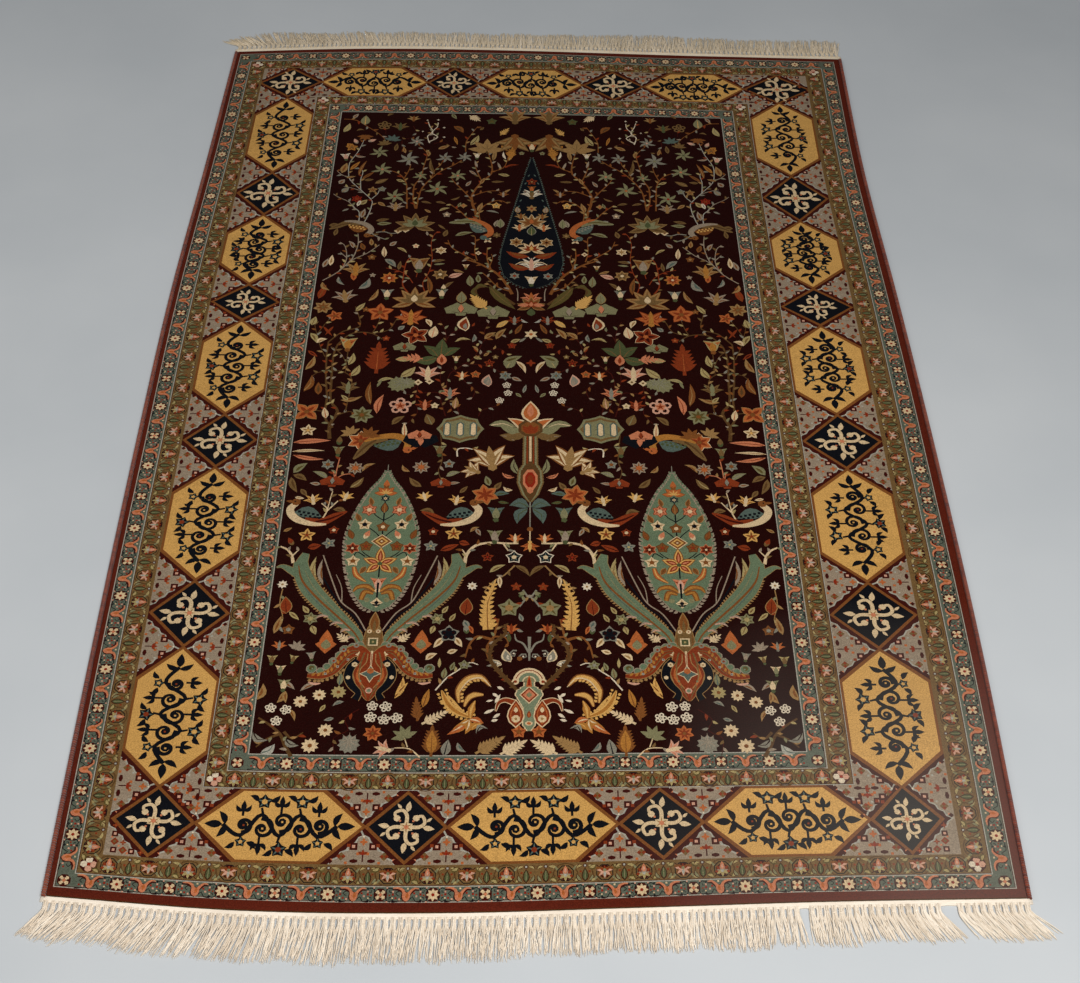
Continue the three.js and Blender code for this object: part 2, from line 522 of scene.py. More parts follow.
def fern(pen, length, yarn, pairs=4, width=0.5):
    """A serrated frond of paired leaflets."""
    pen.stem(yarn, [0, complex(0, length)], length * 0.09, 0.3, 2)
    for i in range(pairs):
        at = length * (0.12 + 0.72 * i / pairs)
        reach = length * width * (1 - 0.45 * i / pairs)
        for side in (-1, 1):
            tip = cmath.rect(reach, math.radians(90 - side * 48))
            pen.at(complex(0, at)).leaf(yarn, tip, reach * 0.42, side * reach * 0.08, 3)
    pen.at(complex(0, length * 0.75)).leaf(yarn, complex(0, length * 0.35), length * 0.14, 0, 3)


# One square of the weaver's graph
SQUARE = 1.25

# The bands that run round the field, each from its own outer line to the next one's
BANDS = [
    {"name": "rust margin", "left": -617.7, "right": 617.7, "near": -962.5, "far": 962.5, "line": 0},
    {"name": "outer teal", "left": -611, "right": 607, "near": -951, "far": 950, "line": 1.3},
    {"name": "outer olive", "left": -587.5, "right": 580, "near": -930.5, "far": 924, "line": 1.4},
    {"name": "main", "left": -557, "right": 544.5, "near": -901, "far": 895.5, "line": 0},
    {"name": "inner olive", "left": -444.5, "right": 420, "near": -796, "far": 795, "line": 1.0},
    {"name": "inner teal", "left": -416.5, "right": 387.5, "near": -770.5, "far": 769.5, "line": 1.5},
    {"name": "field", "left": -392, "right": 363, "near": -744.5, "far": 744, "line": 1.5},
]
BAND_YARNS = {
    "rust margin": "rust margin",
    "outer teal": "guard",
    "outer olive": "olive",
    "main": "rose",
    "inner olive": "olive",
    "inner teal": "guard",
    "field": "wine",
}

# Where the frames of diamonds and cartouches cross along the main border, in millimetres
CROSSINGS = {
    "left": [-799, -570, -448, -219, -100, 128, 224, 422, 550, 792],
    "right": [-802, -572, -448, -216, -93, 125, 224, 418, 556, 799],
    "near": [-448, -228, -121, 104, 216, 435],
    "far": [-441, -227, -122, 89, 212, 416],
}


def band(name):
    """The number of a band, counted from the outside."""
    return next(i for i, row in enumerate(BANDS) if row["name"] == name)


def corners(row, inset=0.0):
    """Two opposite corners of a band's outer line, moved inwards."""
    return (
        complex(row["left"] + inset, row["near"] + inset),
        complex(row["right"] - inset, row["far"] - inset),
    )


def sides_of(index):
    """The four runs of a band: a name, a start on its middle line, a heading, a length, a width."""
    outer, inner = BANDS[index], BANDS[index + 1]
    left = (outer["left"] + inner["left"]) / 2
    right = (outer["right"] + inner["right"]) / 2
    near = (outer["near"] + inner["near"]) / 2
    far = (outer["far"] + inner["far"]) / 2
    return [
        ("near", complex(left, near), 0, right - left, inner["near"] - outer["near"]),
        ("right", complex(right, near), 90, far - near, outer["right"] - inner["right"]),
        ("far", complex(right, far), 180, right - left, outer["far"] - inner["far"]),
        ("left", complex(left, far), 270, far - near, inner["left"] - outer["left"]),
    ]


def draw_grounds(shapes):
    """The plain colour of each band, with a pale line along its outer edge."""
    pen = Pen(shapes)
    for row in BANDS:
        if row["line"]:
            pen.box("pale", *corners(row))
        pen.box(BAND_YARNS[row["name"]], *corners(row, row["line"]))


# The width of the dark line inside each guard's pale one
DARK_LINE = 0.9


def hollow_box(pen, yarn, low, high, thin):
    """A thin line along the four sides of a box."""
    pen.box(yarn, low, complex(high.real, low.imag + thin))
    pen.box(yarn, complex(low.real, high.imag - thin), high)
    pen.box(yarn, low, complex(low.real + thin, high.imag))
    pen.box(yarn, complex(high.real - thin, low.imag), high)


def repeat_along(shapes, index, pitch, motifs, corner):
    """Motifs in turn along each run of a band, mirrored past its middle, and one at each corner."""
    for _, start, heading, length, _ in sides_of(index):
        pen = Pen(shapes).at(start, SQUARE, heading)
        corner(pen)
        count = round(length / pitch)
        for i in range(1, count):
            place = i * length / count / SQUARE
            near_start = min(i, count - i)
            motif = motifs[near_start % len(motifs)]
            motif(pen.at(place, mirrored=i > count / 2))


def curl(pen, yarn, size, start, end):
    """A small scroll that winds in on itself."""
    path = [-5 - 2j, -4 + 2j, 0 + 3.6j, 4 + 1.4j, 3 - 2.2j, -0.6 - 2j, -0.8 + 0.6j]
    pen.stem(yarn, [p * size for p in path], start, end, 1)


def scrolls(pen):
    """Dark scrolls with red and pink dots, on the four sides of a rosette."""
    for end in (-1, 1):
        for side in (-1, 1):
            corner = pen.at(complex(end * 9.6, side * 4.4), mirrored=end < 0)
            curl(corner if side > 0 else corner.at(0, turn=180, mirrored=True), "navy", 0.8, 1.2, 0.8)
            pen.at(complex(end * 6.6, side * 7.4)).disc("pink", 1.1, 4)
            pen.at(complex(end * 13, side * 6.6)).disc("navy", 1.2, 4)
        pen.at(complex(end * 12.6, 0.4)).disc("red", 1.6, 5)
        pen.at(complex(end * 12.6, 3.4)).disc("pink", 1.3, 4)
        pen.at(complex(end * 9.2, -0.6)).disc("rust", 1.3, 4)
        pen.at(complex(end * 12.2, -3.4)).disc("cream", 1.1, 4)


def corner_rosette(pen):
    """A rosette of four cream petals with dark ones between them."""
    pen.disc("maroon", 7.2, 8)
    for i in range(4):
        pen.at(cmath.rect(3.7, math.radians(45 + 90 * i))).disc("cream", 2.5, 5)
        pen.at(cmath.rect(4.7, math.radians(90 * i))).disc("maroon", 2.2, 4)
    pen.disc("salmon", 2.0, 6)


def checker_rosette(pen):
    corner_rosette(pen)
    scrolls(pen)


def star_rosette(pen):
    pen.disc("maroon", 8.0, 8)
    daisy(pen, 7.0, "cream", "red", 8)
    scrolls(pen)


def salmon_bloom(pen):
    """A flame of a flower whose arms run on along the band."""
    pen.stem("maroon", [-1 - 2j, -4.6 + 3.4j, -9.4 + 5.6j, -14 + 5.4j], 3.4, 1.2, 1)
    pen.stem("maroon", [1 - 2j, 4.6 + 2.4j, 8.4 + 5.2j, 12.4 + 4.8j], 3.2, 1.2, 1)
    pen.at(-1 - 8j).leaf("maroon", -3.2 + 13j, 10, -1.6)
    pen.stem("salmon", [-2 - 1j, -4 + 5j, -9 + 7.4j, -14 + 7j], 3.6, 1.0, 2)
    pen.stem("salmon", [1 - 1j, 4 + 4j, 8 + 7j, 12 + 6.4j], 3.4, 0.9, 2)
    pen.stem("navy", [-15 - 7.6j, -9 - 7j, -5 - 3j, -2 - 6j], 1.0, 0.8, 2)
    pen.stem("navy", [15 - 7.4j, 9 - 7j, 6 - 2j, 3 - 5j], 1.0, 0.8, 2)
    pen.stem("navy", [-8 + 4j, -11 + 1.5j, -8 - 1j], 1.0, 0.7, 2)
    pen.at(-1 - 7j).leaf("salmon", -3 + 11j, 7.6, -1.6)
    pen.at(-7j).leaf("salmon", 4 + 10j, 6, 1.4)
    pen.at(-4j).leaf("orange", 1 + 7j, 3.4)
    pen.at(1 + 6.6j).disc("cream", 1.3, 4)
    for place, yarn in ((7.6 + 1.6j, "red"), (10 - 1.4j, "pink"), (-11 - 3.4j, "red"), (-7.4 - 4.6j, "pink")):
        pen.at(place).disc(yarn, 1.4, 4)


def vine(pen, side, high):
    """The brown vine beside a palmette, with its pale leaf."""
    up = high * 1j
    pen.stem("bark", [side * 13 - 6 * up, side * 12 + 2 * up, side * 7 + 9 * up, 10.6 * up], 1.5, 1.2, 2)
    pen.stem("maroon", [side * 12.6 - 9 * up, side * 8 - 8 * up, side * 5 - 5 * up], 1.0, 0.8, 1)
    leaf = pen.at(side * 8.6 - 8.6 * up)
    leaf.leaf("moss", side * 8.4 + 3.4 * up, 5.4, side * high)
    leaf.at(side * 0.8 + 0.2 * up).leaf("straw", side * 6.4 + 2.6 * up, 3.2, side * high * 0.7)
    high_leaf = pen.at(side * 9.4 + 5.4 * up)
    high_leaf.at(side * 0.5 + 0.5 * up).leaf("straw", side * 4.2 + 3.4 * up, 2.6)


def upright_palmette(pen):
    """A pink bud over a round of dark petals, with pale petals at its foot."""
    for side in (-1, 1):
        vine(pen, side, 1)
        pen.at(complex(side * 7, 3)).leaf("sage", complex(side * 3.4, 5.4), 2.8, -side * 0.6)
    pen.disc("navy", 9.2, 8)
    pen.disc("olive", 8.1, 8)
    pen.at(-1j).disc("maroon", 7.0, 9)
    fan(pen.at(-2.4j), "rust", 5, 8.4, 5.2, 190)
    fan(pen.at(-2.4j), "rose", 4, 6.4, 2.4, 150)
    pen.at(-1j).leaf("salmon", 9.6j, 4.8)
    pen.at(0.4j).leaf("pink", 5.6j, 2.2)
    fan(pen.at(-1.4j, turn=180), "straw", 3, 7.4, 3.4, 110)
    pen.at(-2j).disc("pale", 1.9, 5)


def fallen_palmette(pen):
    """A fan of pale petals that hangs down from a dark cap."""
    for side in (-1, 1):
        vine(pen, side, -1)
        pen.at(complex(side * 7, -3)).leaf("sage", complex(side * 3.4, -5.4), 2.8, side * 0.6)
    pen.disc("navy", 9.4, 8)
    pen.disc("olive", 8.3, 8)
    pen.at(1j).disc("maroon", 7.2, 9)
    fan(pen.at(2.6j, turn=180), "brown", 5, 10, 5.4, 210)
    fan(pen.at(2j, turn=180), "pink", 5, 8.6, 3.0, 190)
    fan(pen.at(2j), "rust", 3, 5.6, 2.8, 130)
    pen.at(1.6j).leaf("pale", -7j, 3)
    pen.at(2.6j).disc("sage", 2.0, 5)


def green_knot(pen):
    """The leaf and small dots between two palmettes."""
    pen.at(-9.6j).leaf("maroon", 15.4j, 7.6)
    pen.at(-8.4j).leaf("leaf", 13j, 5.6)
    pen.stem("sage", [-6.6j, 0j, 3j], 1.1, 0.6, 2)
    pen.at(8j).disc("maroon", 2.4, 5)
    pen.at(8j).disc("pale", 1.5, 4)
    for side in (-1, 1):
        pen.at(complex(side * 4, -9)).leaf("maroon", complex(side * 4.6, 8.4), 4.4, -side)
        pen.at(complex(side * 4, -8.4)).leaf("sage", complex(side * 4.2, 7.2), 3.0, -side)
        pen.at(complex(side * 2.6, 8.6)).leaf("maroon", complex(side * 7, -3.6), 4.0, side)
        pen.at(complex(side * 2.8, 8.4)).leaf("straw", complex(side * 6, -3.2), 2.6, side)
        pen.at(complex(side * 4.6, 1.6)).disc("rust", 1.5, 4)


def blossom_clump(pen):
    """White and pink blossoms where two bands turn the corner."""
    pen.disc("maroon", 9.4, 9)
    for place, yarn in ((-5, "white"), (5j, "white"), (5, "pink"), (-5j, "pink")):
        pen.at(place).disc(yarn, 3.8, 6)
    pen.disc("red", 2.2, 6)


def band_rings(shapes):
    """Each guard again, over what the frames of the main border leave outside it."""
    pen = Pen(shapes)
    for row, inner in zip(BANDS, BANDS[1:]):
        if row["name"] == "main":
            continue
        low, high = corners(row)
        low_in, high_in = corners(inner)
        for a, b in (
            (low, complex(high.real, low_in.imag)),
            (complex(low.real, high_in.imag), high),
            (complex(low.real, low_in.imag), complex(low_in.real, high_in.imag)),
            (complex(high_in.real, low_in.imag), complex(high.real, high_in.imag)),
        ):
            pen.box(BAND_YARNS[row["name"]], a, b)
        thin = row["line"]
        if thin:
            hollow_box(pen, "pale", low, high, thin)
            inset = complex(thin, thin)
            hollow_box(pen, "maroon", low + inset, high - inset, DARK_LINE)


# How far apart the motifs of a guard stand, in millimetres
GUARD_PITCH = {"teal": 33, "olive": 25}


def draw_guards(shapes):
    """Rosettes and flames on the teal guards, palmettes and knots on the olive ones."""
    teal = (checker_rosette, salmon_bloom, star_rosette, salmon_bloom)
    olive = (green_knot, upright_palmette, green_knot, fallen_palmette)
    for name in ("outer teal", "inner teal"):
        repeat_along(shapes, band(name), GUARD_PITCH["teal"], teal, corner_rosette)
    for name in ("outer olive", "inner olive"):
        repeat_along(shapes, band(name), GUARD_PITCH["olive"], olive, blossom_clump)


# The frame of a cartouche or diamond, in millimetres along and across the main border
FRAME = {"shoulder": 56, "brown": 3.6, "plum": 7, "pale": 2, "slant": 1.4, "step": 1.3, "teeth": 12}
CORNER_HEIGHT = 50

# The half length of the diamond whose filling is drawn full size, and the bare tips of a cartouche
DIAMOND = 56
BARE_TIPS = 36


def slanted(start, end, teeth, depth):
    """A slanting edge in small knotted steps."""
    across = (end - start) / abs(end - start) * 1j * depth
    return [start + (end - start) * i / teeth + across * (1 if i % 2 else -1) for i in range(teeth)]


def hexagon(half, height, shoulder, teeth=1, depth=0.0):
    """A cartouche's outline: two tips, and flat sides between its shoulders."""
    tip, flat = complex(half, 0), complex(half - shoulder, height)
    outline = []
    for a, b in (
        (tip, flat),
        (complex(-flat.real, height), -tip),
        (-tip, -flat),
        (complex(flat.real, -height), tip),
    ):
        outline += slanted(a, b, teeth, depth) + [b]
    return outline


def spandrel(pen, depth):
    """Ovals, quartered squares and a small flower, from the border's edge down to a crossing."""
    for side in (-1, 1):
        pen.at(complex(side * 9, 4)).disc("maroon", 4.6, 6, 0.5)
        pen.at(complex(side * 22, 9), turn=45).box("rust", -3.4 - 3.4j, 3.4 + 3.4j)
        pen.at(complex(side * 22, 9), turn=45).box("olive", 0j, 3.4 + 3.4j)
        pen.at(complex(side * 22, 9), turn=45).box("olive", -3.4 - 3.4j, 0j)
        pen.at(complex(side * 10, depth - 22)).box("maroon", -4 - 4j, 4 + 4j)
        pen.at(complex(side * 10, depth - 22)).box("pink", -1.6 - 1.6j, 1.6 + 1.6j)
        pen.at(complex(side * 32, 5)).disc("salmon", 1.8, 4)
        pen.at(complex(side * 33, 3.4), turn=45).box("maroon", -2 - 2j, 2 + 2j)
        pen.at(complex(side * 15, 21)).disc("rust", 2.6, 4)
        pen.at(complex(side * 5, depth - 30)).disc("orange", 2.2, 4)
        pen.at(complex(side * 17, 2)).disc("orange", 2.0, 4)
        pen.at(complex(side * 16, 16)).disc("pale", 1.6, 4)
    pen.stem("maroon", [3j, 14j], 1.4)
    fan(pen.at(11j), "rust", 3, 6, 3.6, 110)
    pen.at(12j).disc("red", 1.7, 5)
    fan(pen.at(complex(0, depth - 17)), "orange", 4, 4.5, 3)
    pen.at(complex(0, depth - 11)).disc("white", 1.2, 4)


def corner_filling(pen, inward, up):
    """Squares, ovals and a small flower in the corner outside the last diamond."""
    for along, across, yarn, heart in (
        (8, 8, "maroon", "pink"),
        (20, 8, "rust", "olive"),
        (8, 20, "rust", "olive"),
        (31, 7, "maroon", "pink"),
        (7, 31, "maroon", "pink"),
    ):
        spot_pen = pen.at(complex(inward * along, up * across), turn=45 if yarn == "rust" else 0)
        spot_pen.box(yarn, -4 - 4j, 4 + 4j)
        spot_pen.box(heart, -1.7 - 1.7j, 1.7 + 1.7j)
    for along, across in ((43, 6), (6, 43), (19, 19)):
        star(pen.at(complex(inward * along, up * across)), 4.4, "rust", "orange", 4)
    for along, across in ((14, 14), (26, 4), (4, 26)):
        pen.at(complex(inward * along, up * across)).disc("salmon", 1.9, 4)


def spiral(heart, start, reach, end, turns, pieces=9):
    """Points on a scroll that winds in round its heart; start is an angle in radians."""
    return [
        heart + cmath.rect(reach + (end - reach) * i / pieces, start + math.tau * turns * i / pieces)
        for i in range(pieces + 1)
    ]


def leafy_scroll(pen, reach, yarn, accents):
    """A waving stem with scrolls, broad leaves and blossoms: the generic filling of a cartouche."""
    waves = 3
    path = [complex(reach * (i / waves - 1), (12, -12)[i % 2]) for i in range(2 * waves + 1)]
    path[0] = complex(-reach, 0)
    path[-1] = complex(reach, 0)
    pen.stem(yarn, path, 4.6, 4.6, 5)
    for i in range(1, 2 * waves):
        side = 1 if i % 2 else -1
        p = path[i]
        small = 0.72 if i in (1, 2 * waves - 1) else 1.0
        heart = p + complex(2, side * 16 * small)
        pen.stem(yarn, spiral(heart, side * math.radians(-100), 12 * small, 3, side * 1.15), 5.0, 2.8, 3)
        pen.at(heart).disc(yarn, 4.4, 7)
        pen.at(heart).disc(accents[i % len(accents)], 1.5, 4)
        flower = pen.at(complex(p.real + 1, -side * 27 * small))
        blossom(flower, 9.0 * small, yarn, accents[(i + 1) % len(accents)], 5)
        flower.at(complex(6, 0)).leaf(yarn, complex(10, -side * 8), 6.4, side * 2)
        flower.at(complex(-6, 0)).leaf(yarn, complex(-10, -side * 7), 6.0, side * 2)
        stalk = [complex(p.real + 1, -side * 12), complex(p.real - 1, -side * 20 * small)]
        pen.stem(yarn, stalk, 3.0, 2.4, 1)
        sprig = pen.at(complex(p.real, side * 21 * small))
        pen.stem(yarn, [complex(p.real, side * 10), complex(p.real, side * 22 * small)], 2.6, 2.6, 1)
        sprig.leaf(yarn, complex(0, side * 13), 6.0)
        sprig.leaf(yarn, complex(8, side * 8), 5.0, -side * 2)
        sprig.leaf(yarn, complex(-8, side * 8), 5.0, side * 2)
    for side in (-1, 1):
        tip = pen.at(complex(side * reach, 0))
        tip.leaf(yarn, complex(side * 19, 0), 9)
        for up in (-1, 1):
            tip.at(complex(-side * 3, 0)).leaf(yarn, complex(side * 8, up * 15), 7, up * side * 2)


def blossom_knot(pen, yarn, accent):
    """Four curled tendrils round a rosette: the generic filling of a diamond."""
    for turn in (0, 90, 180, 270):
        arm = pen.at(0, turn=turn)
        arm.stem(yarn, [4, 14, 20 + 5j, 17 + 13j, 10 + 11j], 4.4, 3.2, 3)
        arm.at(10.4 + 10.6j).disc(yarn, 3.9, 7)
        arm.at(18 - 0.6j).leaf(yarn, 13 - 2j, 6.4)
        arm.at(22 + 6j).leaf(yarn, 6 + 5j, 3.6)
        arm.at(7.4 + 7.2j).disc(accent, 1.6, 4)
    blossom(pen, 8.0, yarn, accent, 6)


def draw_frame(pen, half, height, shoulder):
    """The toothed plum frame of a diamond or cartouche, with a pale line round it."""
    for yarn, more in (("pale", FRAME["pale"]), ("plum", 0.0)):
        grown = (FRAME["plum"] + more) * FRAME["slant"]
        outline = hexagon(half + grown, height + grown, shoulder + grown, FRAME["teeth"], FRAME["step"])
        pen.fill(yarn, outline)


def main_run(shapes, name, place, half_width):
    """Diamonds and cartouches in turn between the crossings of one side of the main border."""
    crossings = CROSSINGS[name]
    turned = {"near": 0, "right": 90, "far": 180, "left": 270}[name]
    runs = list(zip(crossings, crossings[1:]))
    lozenges = []
    for i, (low, high) in enumerate(runs):
        lozenges.append((place((low + high) / 2), (high - low) / 2, i % 2 == 0))
    for middle, half, long in lozenges:
        pen = Pen(shapes).at(middle, 1, turned)
        shoulder = FRAME["shoulder"] if long else half
        draw_frame(pen, half, half_width, shoulder)
    return lozenges, turned


def draw_main_border(shapes):
    """Every frame is drawn before any filling, so that the frames cross."""
    made = []
    runs = {side[0]: side for side in sides_of(band("main"))}
    low = complex(runs["near"][1].real, runs["near"][1].imag)
    high = complex(runs["right"][1].real, runs["far"][1].imag)
    places = {
        "near": lambda along: complex(along, low.imag),
        "far": lambda along: complex(along, high.imag),
        "left": lambda along: complex(low.real, along),
        "right": lambda along: complex(high.real, along),
    }
    for name, run in runs.items():
        lozenges, turned = main_run(shapes, name, places[name], run[4] / 2)
        made += [(p, half, long, turned, run[4] / 2) for p, half, long in lozenges]
    for x, ends in ((low.real, ("near", "far", 0)), (high.real, ("near", "far", -1))):
        for end in ends[:2]:
            middle = complex(x, low.imag if end == "near" else high.imag)
            half = abs(CROSSINGS[end][ends[2]] - x)
            made.append((middle, half, False, 0, runs[end][4] / 2))
            draw_frame(Pen(shapes).at(middle), half, CORNER_HEIGHT, half)
    for middle, half, long, turned, half_width in made:
        pen = Pen(shapes).at(middle, 1, turned)
        pen.fill("brown", hexagon(half + 2, half_width, FRAME["shoulder"] if long else half + 2))
    for middle, half, long, turned, half_width in made:
        pen = Pen(shapes).at(middle, 1, turned)
        inset = FRAME["brown"]
        if long:
            pen.fill("gold", hexagon(half - inset * 1.2, half_width - inset, FRAME["shoulder"] - inset * 0.6))
            upright = pen.at(0, SQUARE)
            leafy_scroll(upright, (half - BARE_TIPS) / SQUARE, "navy", ("gold", "rust", "gold"))
        else:
            pen.fill("navy", hexagon(half - inset * 1.3, half_width - inset * 1.6, half - inset * 1.3))
            blossom_knot(pen.at(0, SQUARE * half / DIAMOND), "cream", "salmon")
    for name, run in runs.items():
        for along in CROSSINGS[name]:
            for side in (0, 180):
                pen = Pen(shapes).at(places[name](along), 1, run[2] + side)
                spandrel(pen.at(complex(0, -run[4] / 2), SQUARE), run[4] / 2 / SQUARE)
    depth = runs["near"][4] / 2
    for x, out in ((low.real, -1), (high.real, 1)):
        for y, away in ((low.imag, -1), (high.imag, 1)):
            corner = Pen(shapes).at(complex(x + out * depth, y + away * depth))
            corner_filling(corner, -out, -away)


# The garden's graph: squares of 1.25 mm, columns counted from the left and rows from the far end
AXIS_COLUMN = 548
MIDDLE_ROW = 830

# The middle column of the left medallion, and where the axis lies from the rug's middle in millimetres
SPRAY_COLUMN = 368.5
AXIS = -15


def spot(column, row, axis=AXIS_COLUMN):
    """A place on the graph, counted from the middle of a figure."""
    return complex(column - axis, MIDDLE_ROW - row)


def on_axis(row):
    return complex(0, MIDDLE_ROW - row)


def trail(*numbers, axis=AXIS_COLUMN):
    """A path from its columns and rows in turn."""
    return [spot(column, row, axis) for column, row in zip(numbers[::2], numbers[1::2])]


def at(column, row):
    """A place on the graph as seen from the middle of a medallion."""
    return spot(column, row, SPRAY_COLUMN)


def spray_trail(*numbers):
    return trail(*numbers, axis=SPRAY_COLUMN)


def both(pen):
    """A pen and its mirror image across the axis."""
    return [pen, pen.at(0, mirrored=True)]


def pod(pen, length, width, yarn, vein, rim):
    """A broad bud or leaf with its midrib and a thin outline."""
    pen.at(-0.8j).leaf(rim, complex(0, length + 1.8), width + 2.2)
    pen.leaf(yarn, complex(0, length), width)
    pen.stem(vein, [0, complex(0, length * 0.45), complex(0, length * 0.8)], 1.1, 0.4, 2)


def shield(pen, size, petal, inner):
    """A lobed bud that stands on its point."""
    for side in (-1, 1):
        pen.at(complex(0, size * 0.35)).leaf(petal, complex(side * size * 0.36, size * 0.05), size * 0.3)
    pen.leaf(petal, complex(0, size), size * 0.5)
    pen.at(complex(0, size * 0.18)).leaf(inner, complex(0, size * 0.42), size * 0.34)


def maple(pen, size, yarn, vein=None):
    """A leaf of five to seven points on a short stalk."""
    pen.stem(vein or yarn, [complex(0, -size * 0.3), 0j], 1.2, 1.0, 1)
    fan(pen, yarn, 5, size, size * 0.42, 170)
    fan(pen, yarn, 2, size * 0.55, size * 0.34, 230)
    if vein:
        fan(pen, vein, 3, size * 0.6, 1.2, 80)


def shell(pen, size, petal, line):
    """A scalloped flower seen from the side, ribbed from its root."""
    pen.fill(petal, scallop(size, 11, 0.22))
    fan(pen.at(complex(0, size * 0.3)), line, 9, size * 0.95, 1.1, 330)


def outlined(pen, radius, rim="white"):
    """Five small rings: a flower drawn in outline alone."""
    for turn in range(0, 360, 72):
        petal = pen.at(cmath.rect(radius * 0.62, math.radians(turn + 90)))
        petal.disc(rim, radius * 0.42, 7)
        petal.disc("wine", radius * 0.22, 5)
    pen.disc(rim, radius * 0.2, 5)


def paisley(pen, size, yarn, inner, rim="cream"):
    """A drop whose tip curls over."""
    pen.leaf(rim, complex(0, size), size * 0.6, size * 0.12)
    pen.at(complex(0, size * 0.07)).leaf(yarn, complex(0, size * 0.8), size * 0.42, size * 0.1)
    pen.at(complex(0, size * 0.14)).leaf(inner, complex(0, size * 0.42), size * 0.2, size * 0.04)


def starflower(pen, radius, petal, heart="salmon", petals=6):
    """A thin lily of six curling petals, as the far trees bear."""
    for i in range(petals):
        tip = cmath.rect(radius * (1 if i % 2 else 0.84), math.tau * (i + 0.3) / petals)
        pen.leaf(petal, tip, radius * 0.3, radius * 0.1, 4)
    pen.disc(heart, radius * 0.13, 5)


def cloud(pen, size, yarn, inner):
    """A broad flower of rounded lobes, folded round its heart."""
    for place, radius in ((-0.75, 0.5), (0.75, 0.5), (0.35j - 0.3, 0.45), (0.35j + 0.3, 0.45), (-0.2j, 0.55)):
        pen.at(place * size).fill(yarn, scallop(radius * size, 5, 0.2))
    pen.at(complex(0, -size * 0.3)).leaf(inner, complex(0, size * 0.9), size * 0.42)
    fan(pen.at(complex(0, -size * 0.4)), "wine", 4, size * 0.7, 1.0, 150)


def bird(pen, size, head, breast, back, wing, tail):
    """A bird in profile that faces left, its tail to the right."""
    u = size / 10
    tail_path = [(-1 - 3j) * u, (5 - 3.6j) * u, (10 - 0.6j) * u, (14 + 1.6j) * u]
    pen.ribbon(tail, tail_path, [3.6 * u, 3.8 * u, 3 * u, 0.6 * u])
    pen.ribbon(SHADES[tail], [(3 - 3.4j) * u, (8 - 2j) * u, (12.6 + 0.6j) * u], [0.8 * u, 0.9 * u, 0.4 * u])
    throat = [
        (-4.6 + 5.6j) * u, (-6.6 + 3j) * u, (-5.8 + 0j) * u, (-3 - 2.6j) * u, (2 - 4.4j) * u,
        (7 - 4.6j) * u,
    ]
    pen.ribbon(breast, throat, [2.2 * u, 2.8 * u, 3 * u, 2.8 * u, 2 * u, 0.8 * u])
    pen.at((-5 + 1.2j) * u).leaf(back, (10 - 2.2j) * u, 5.4 * u, 1.2 * u, 6)
    for i in range(5):
        row = pen.at(((-3.2 + i * 1.7) + (1.6 - i * 0.42) * 1j) * u)
        row.disc(wing, 0.74 * u, 4)
        row.at((0.7 - 1.5j) * u).disc(wing, 0.66 * u, 4)
    pen.at((-4.8 + 6.2j) * u).disc(head, 1.7 * u, 7)
    pen.at((-5.6 + 6.4j) * u).leaf(head, (-3 + 0.3j) * u, 1.3 * u)
    pen.at((-5.2 + 6.5j) * u).disc("navy", 0.4 * u, 4)


def plume(pen, length, yarn, shade, width=0.34, bend=0.0):
    """A curling leaf with a toothed edge, as on the vase and beside it."""
    body = [complex(0, 0), complex(-bend, length * 0.5), complex(0, length)]
    pen.stem(yarn, body, length * width * 0.55, 1.2, 5)
    for i, p in enumerate(smooth(body, 6)[1:-2]):
        for side in (-1, 1):
            reach = length * width * (0.55 - 0.03 * i)
            pen.at(p).leaf(yarn, cmath.rect(reach, math.radians(90 - side * 62)), reach * 0.55, 0, 3)
    pen.stem(shade, [0, complex(-bend * 0.9, length * 0.5), complex(0, length * 0.8)], 1.3, 0.5, 3)


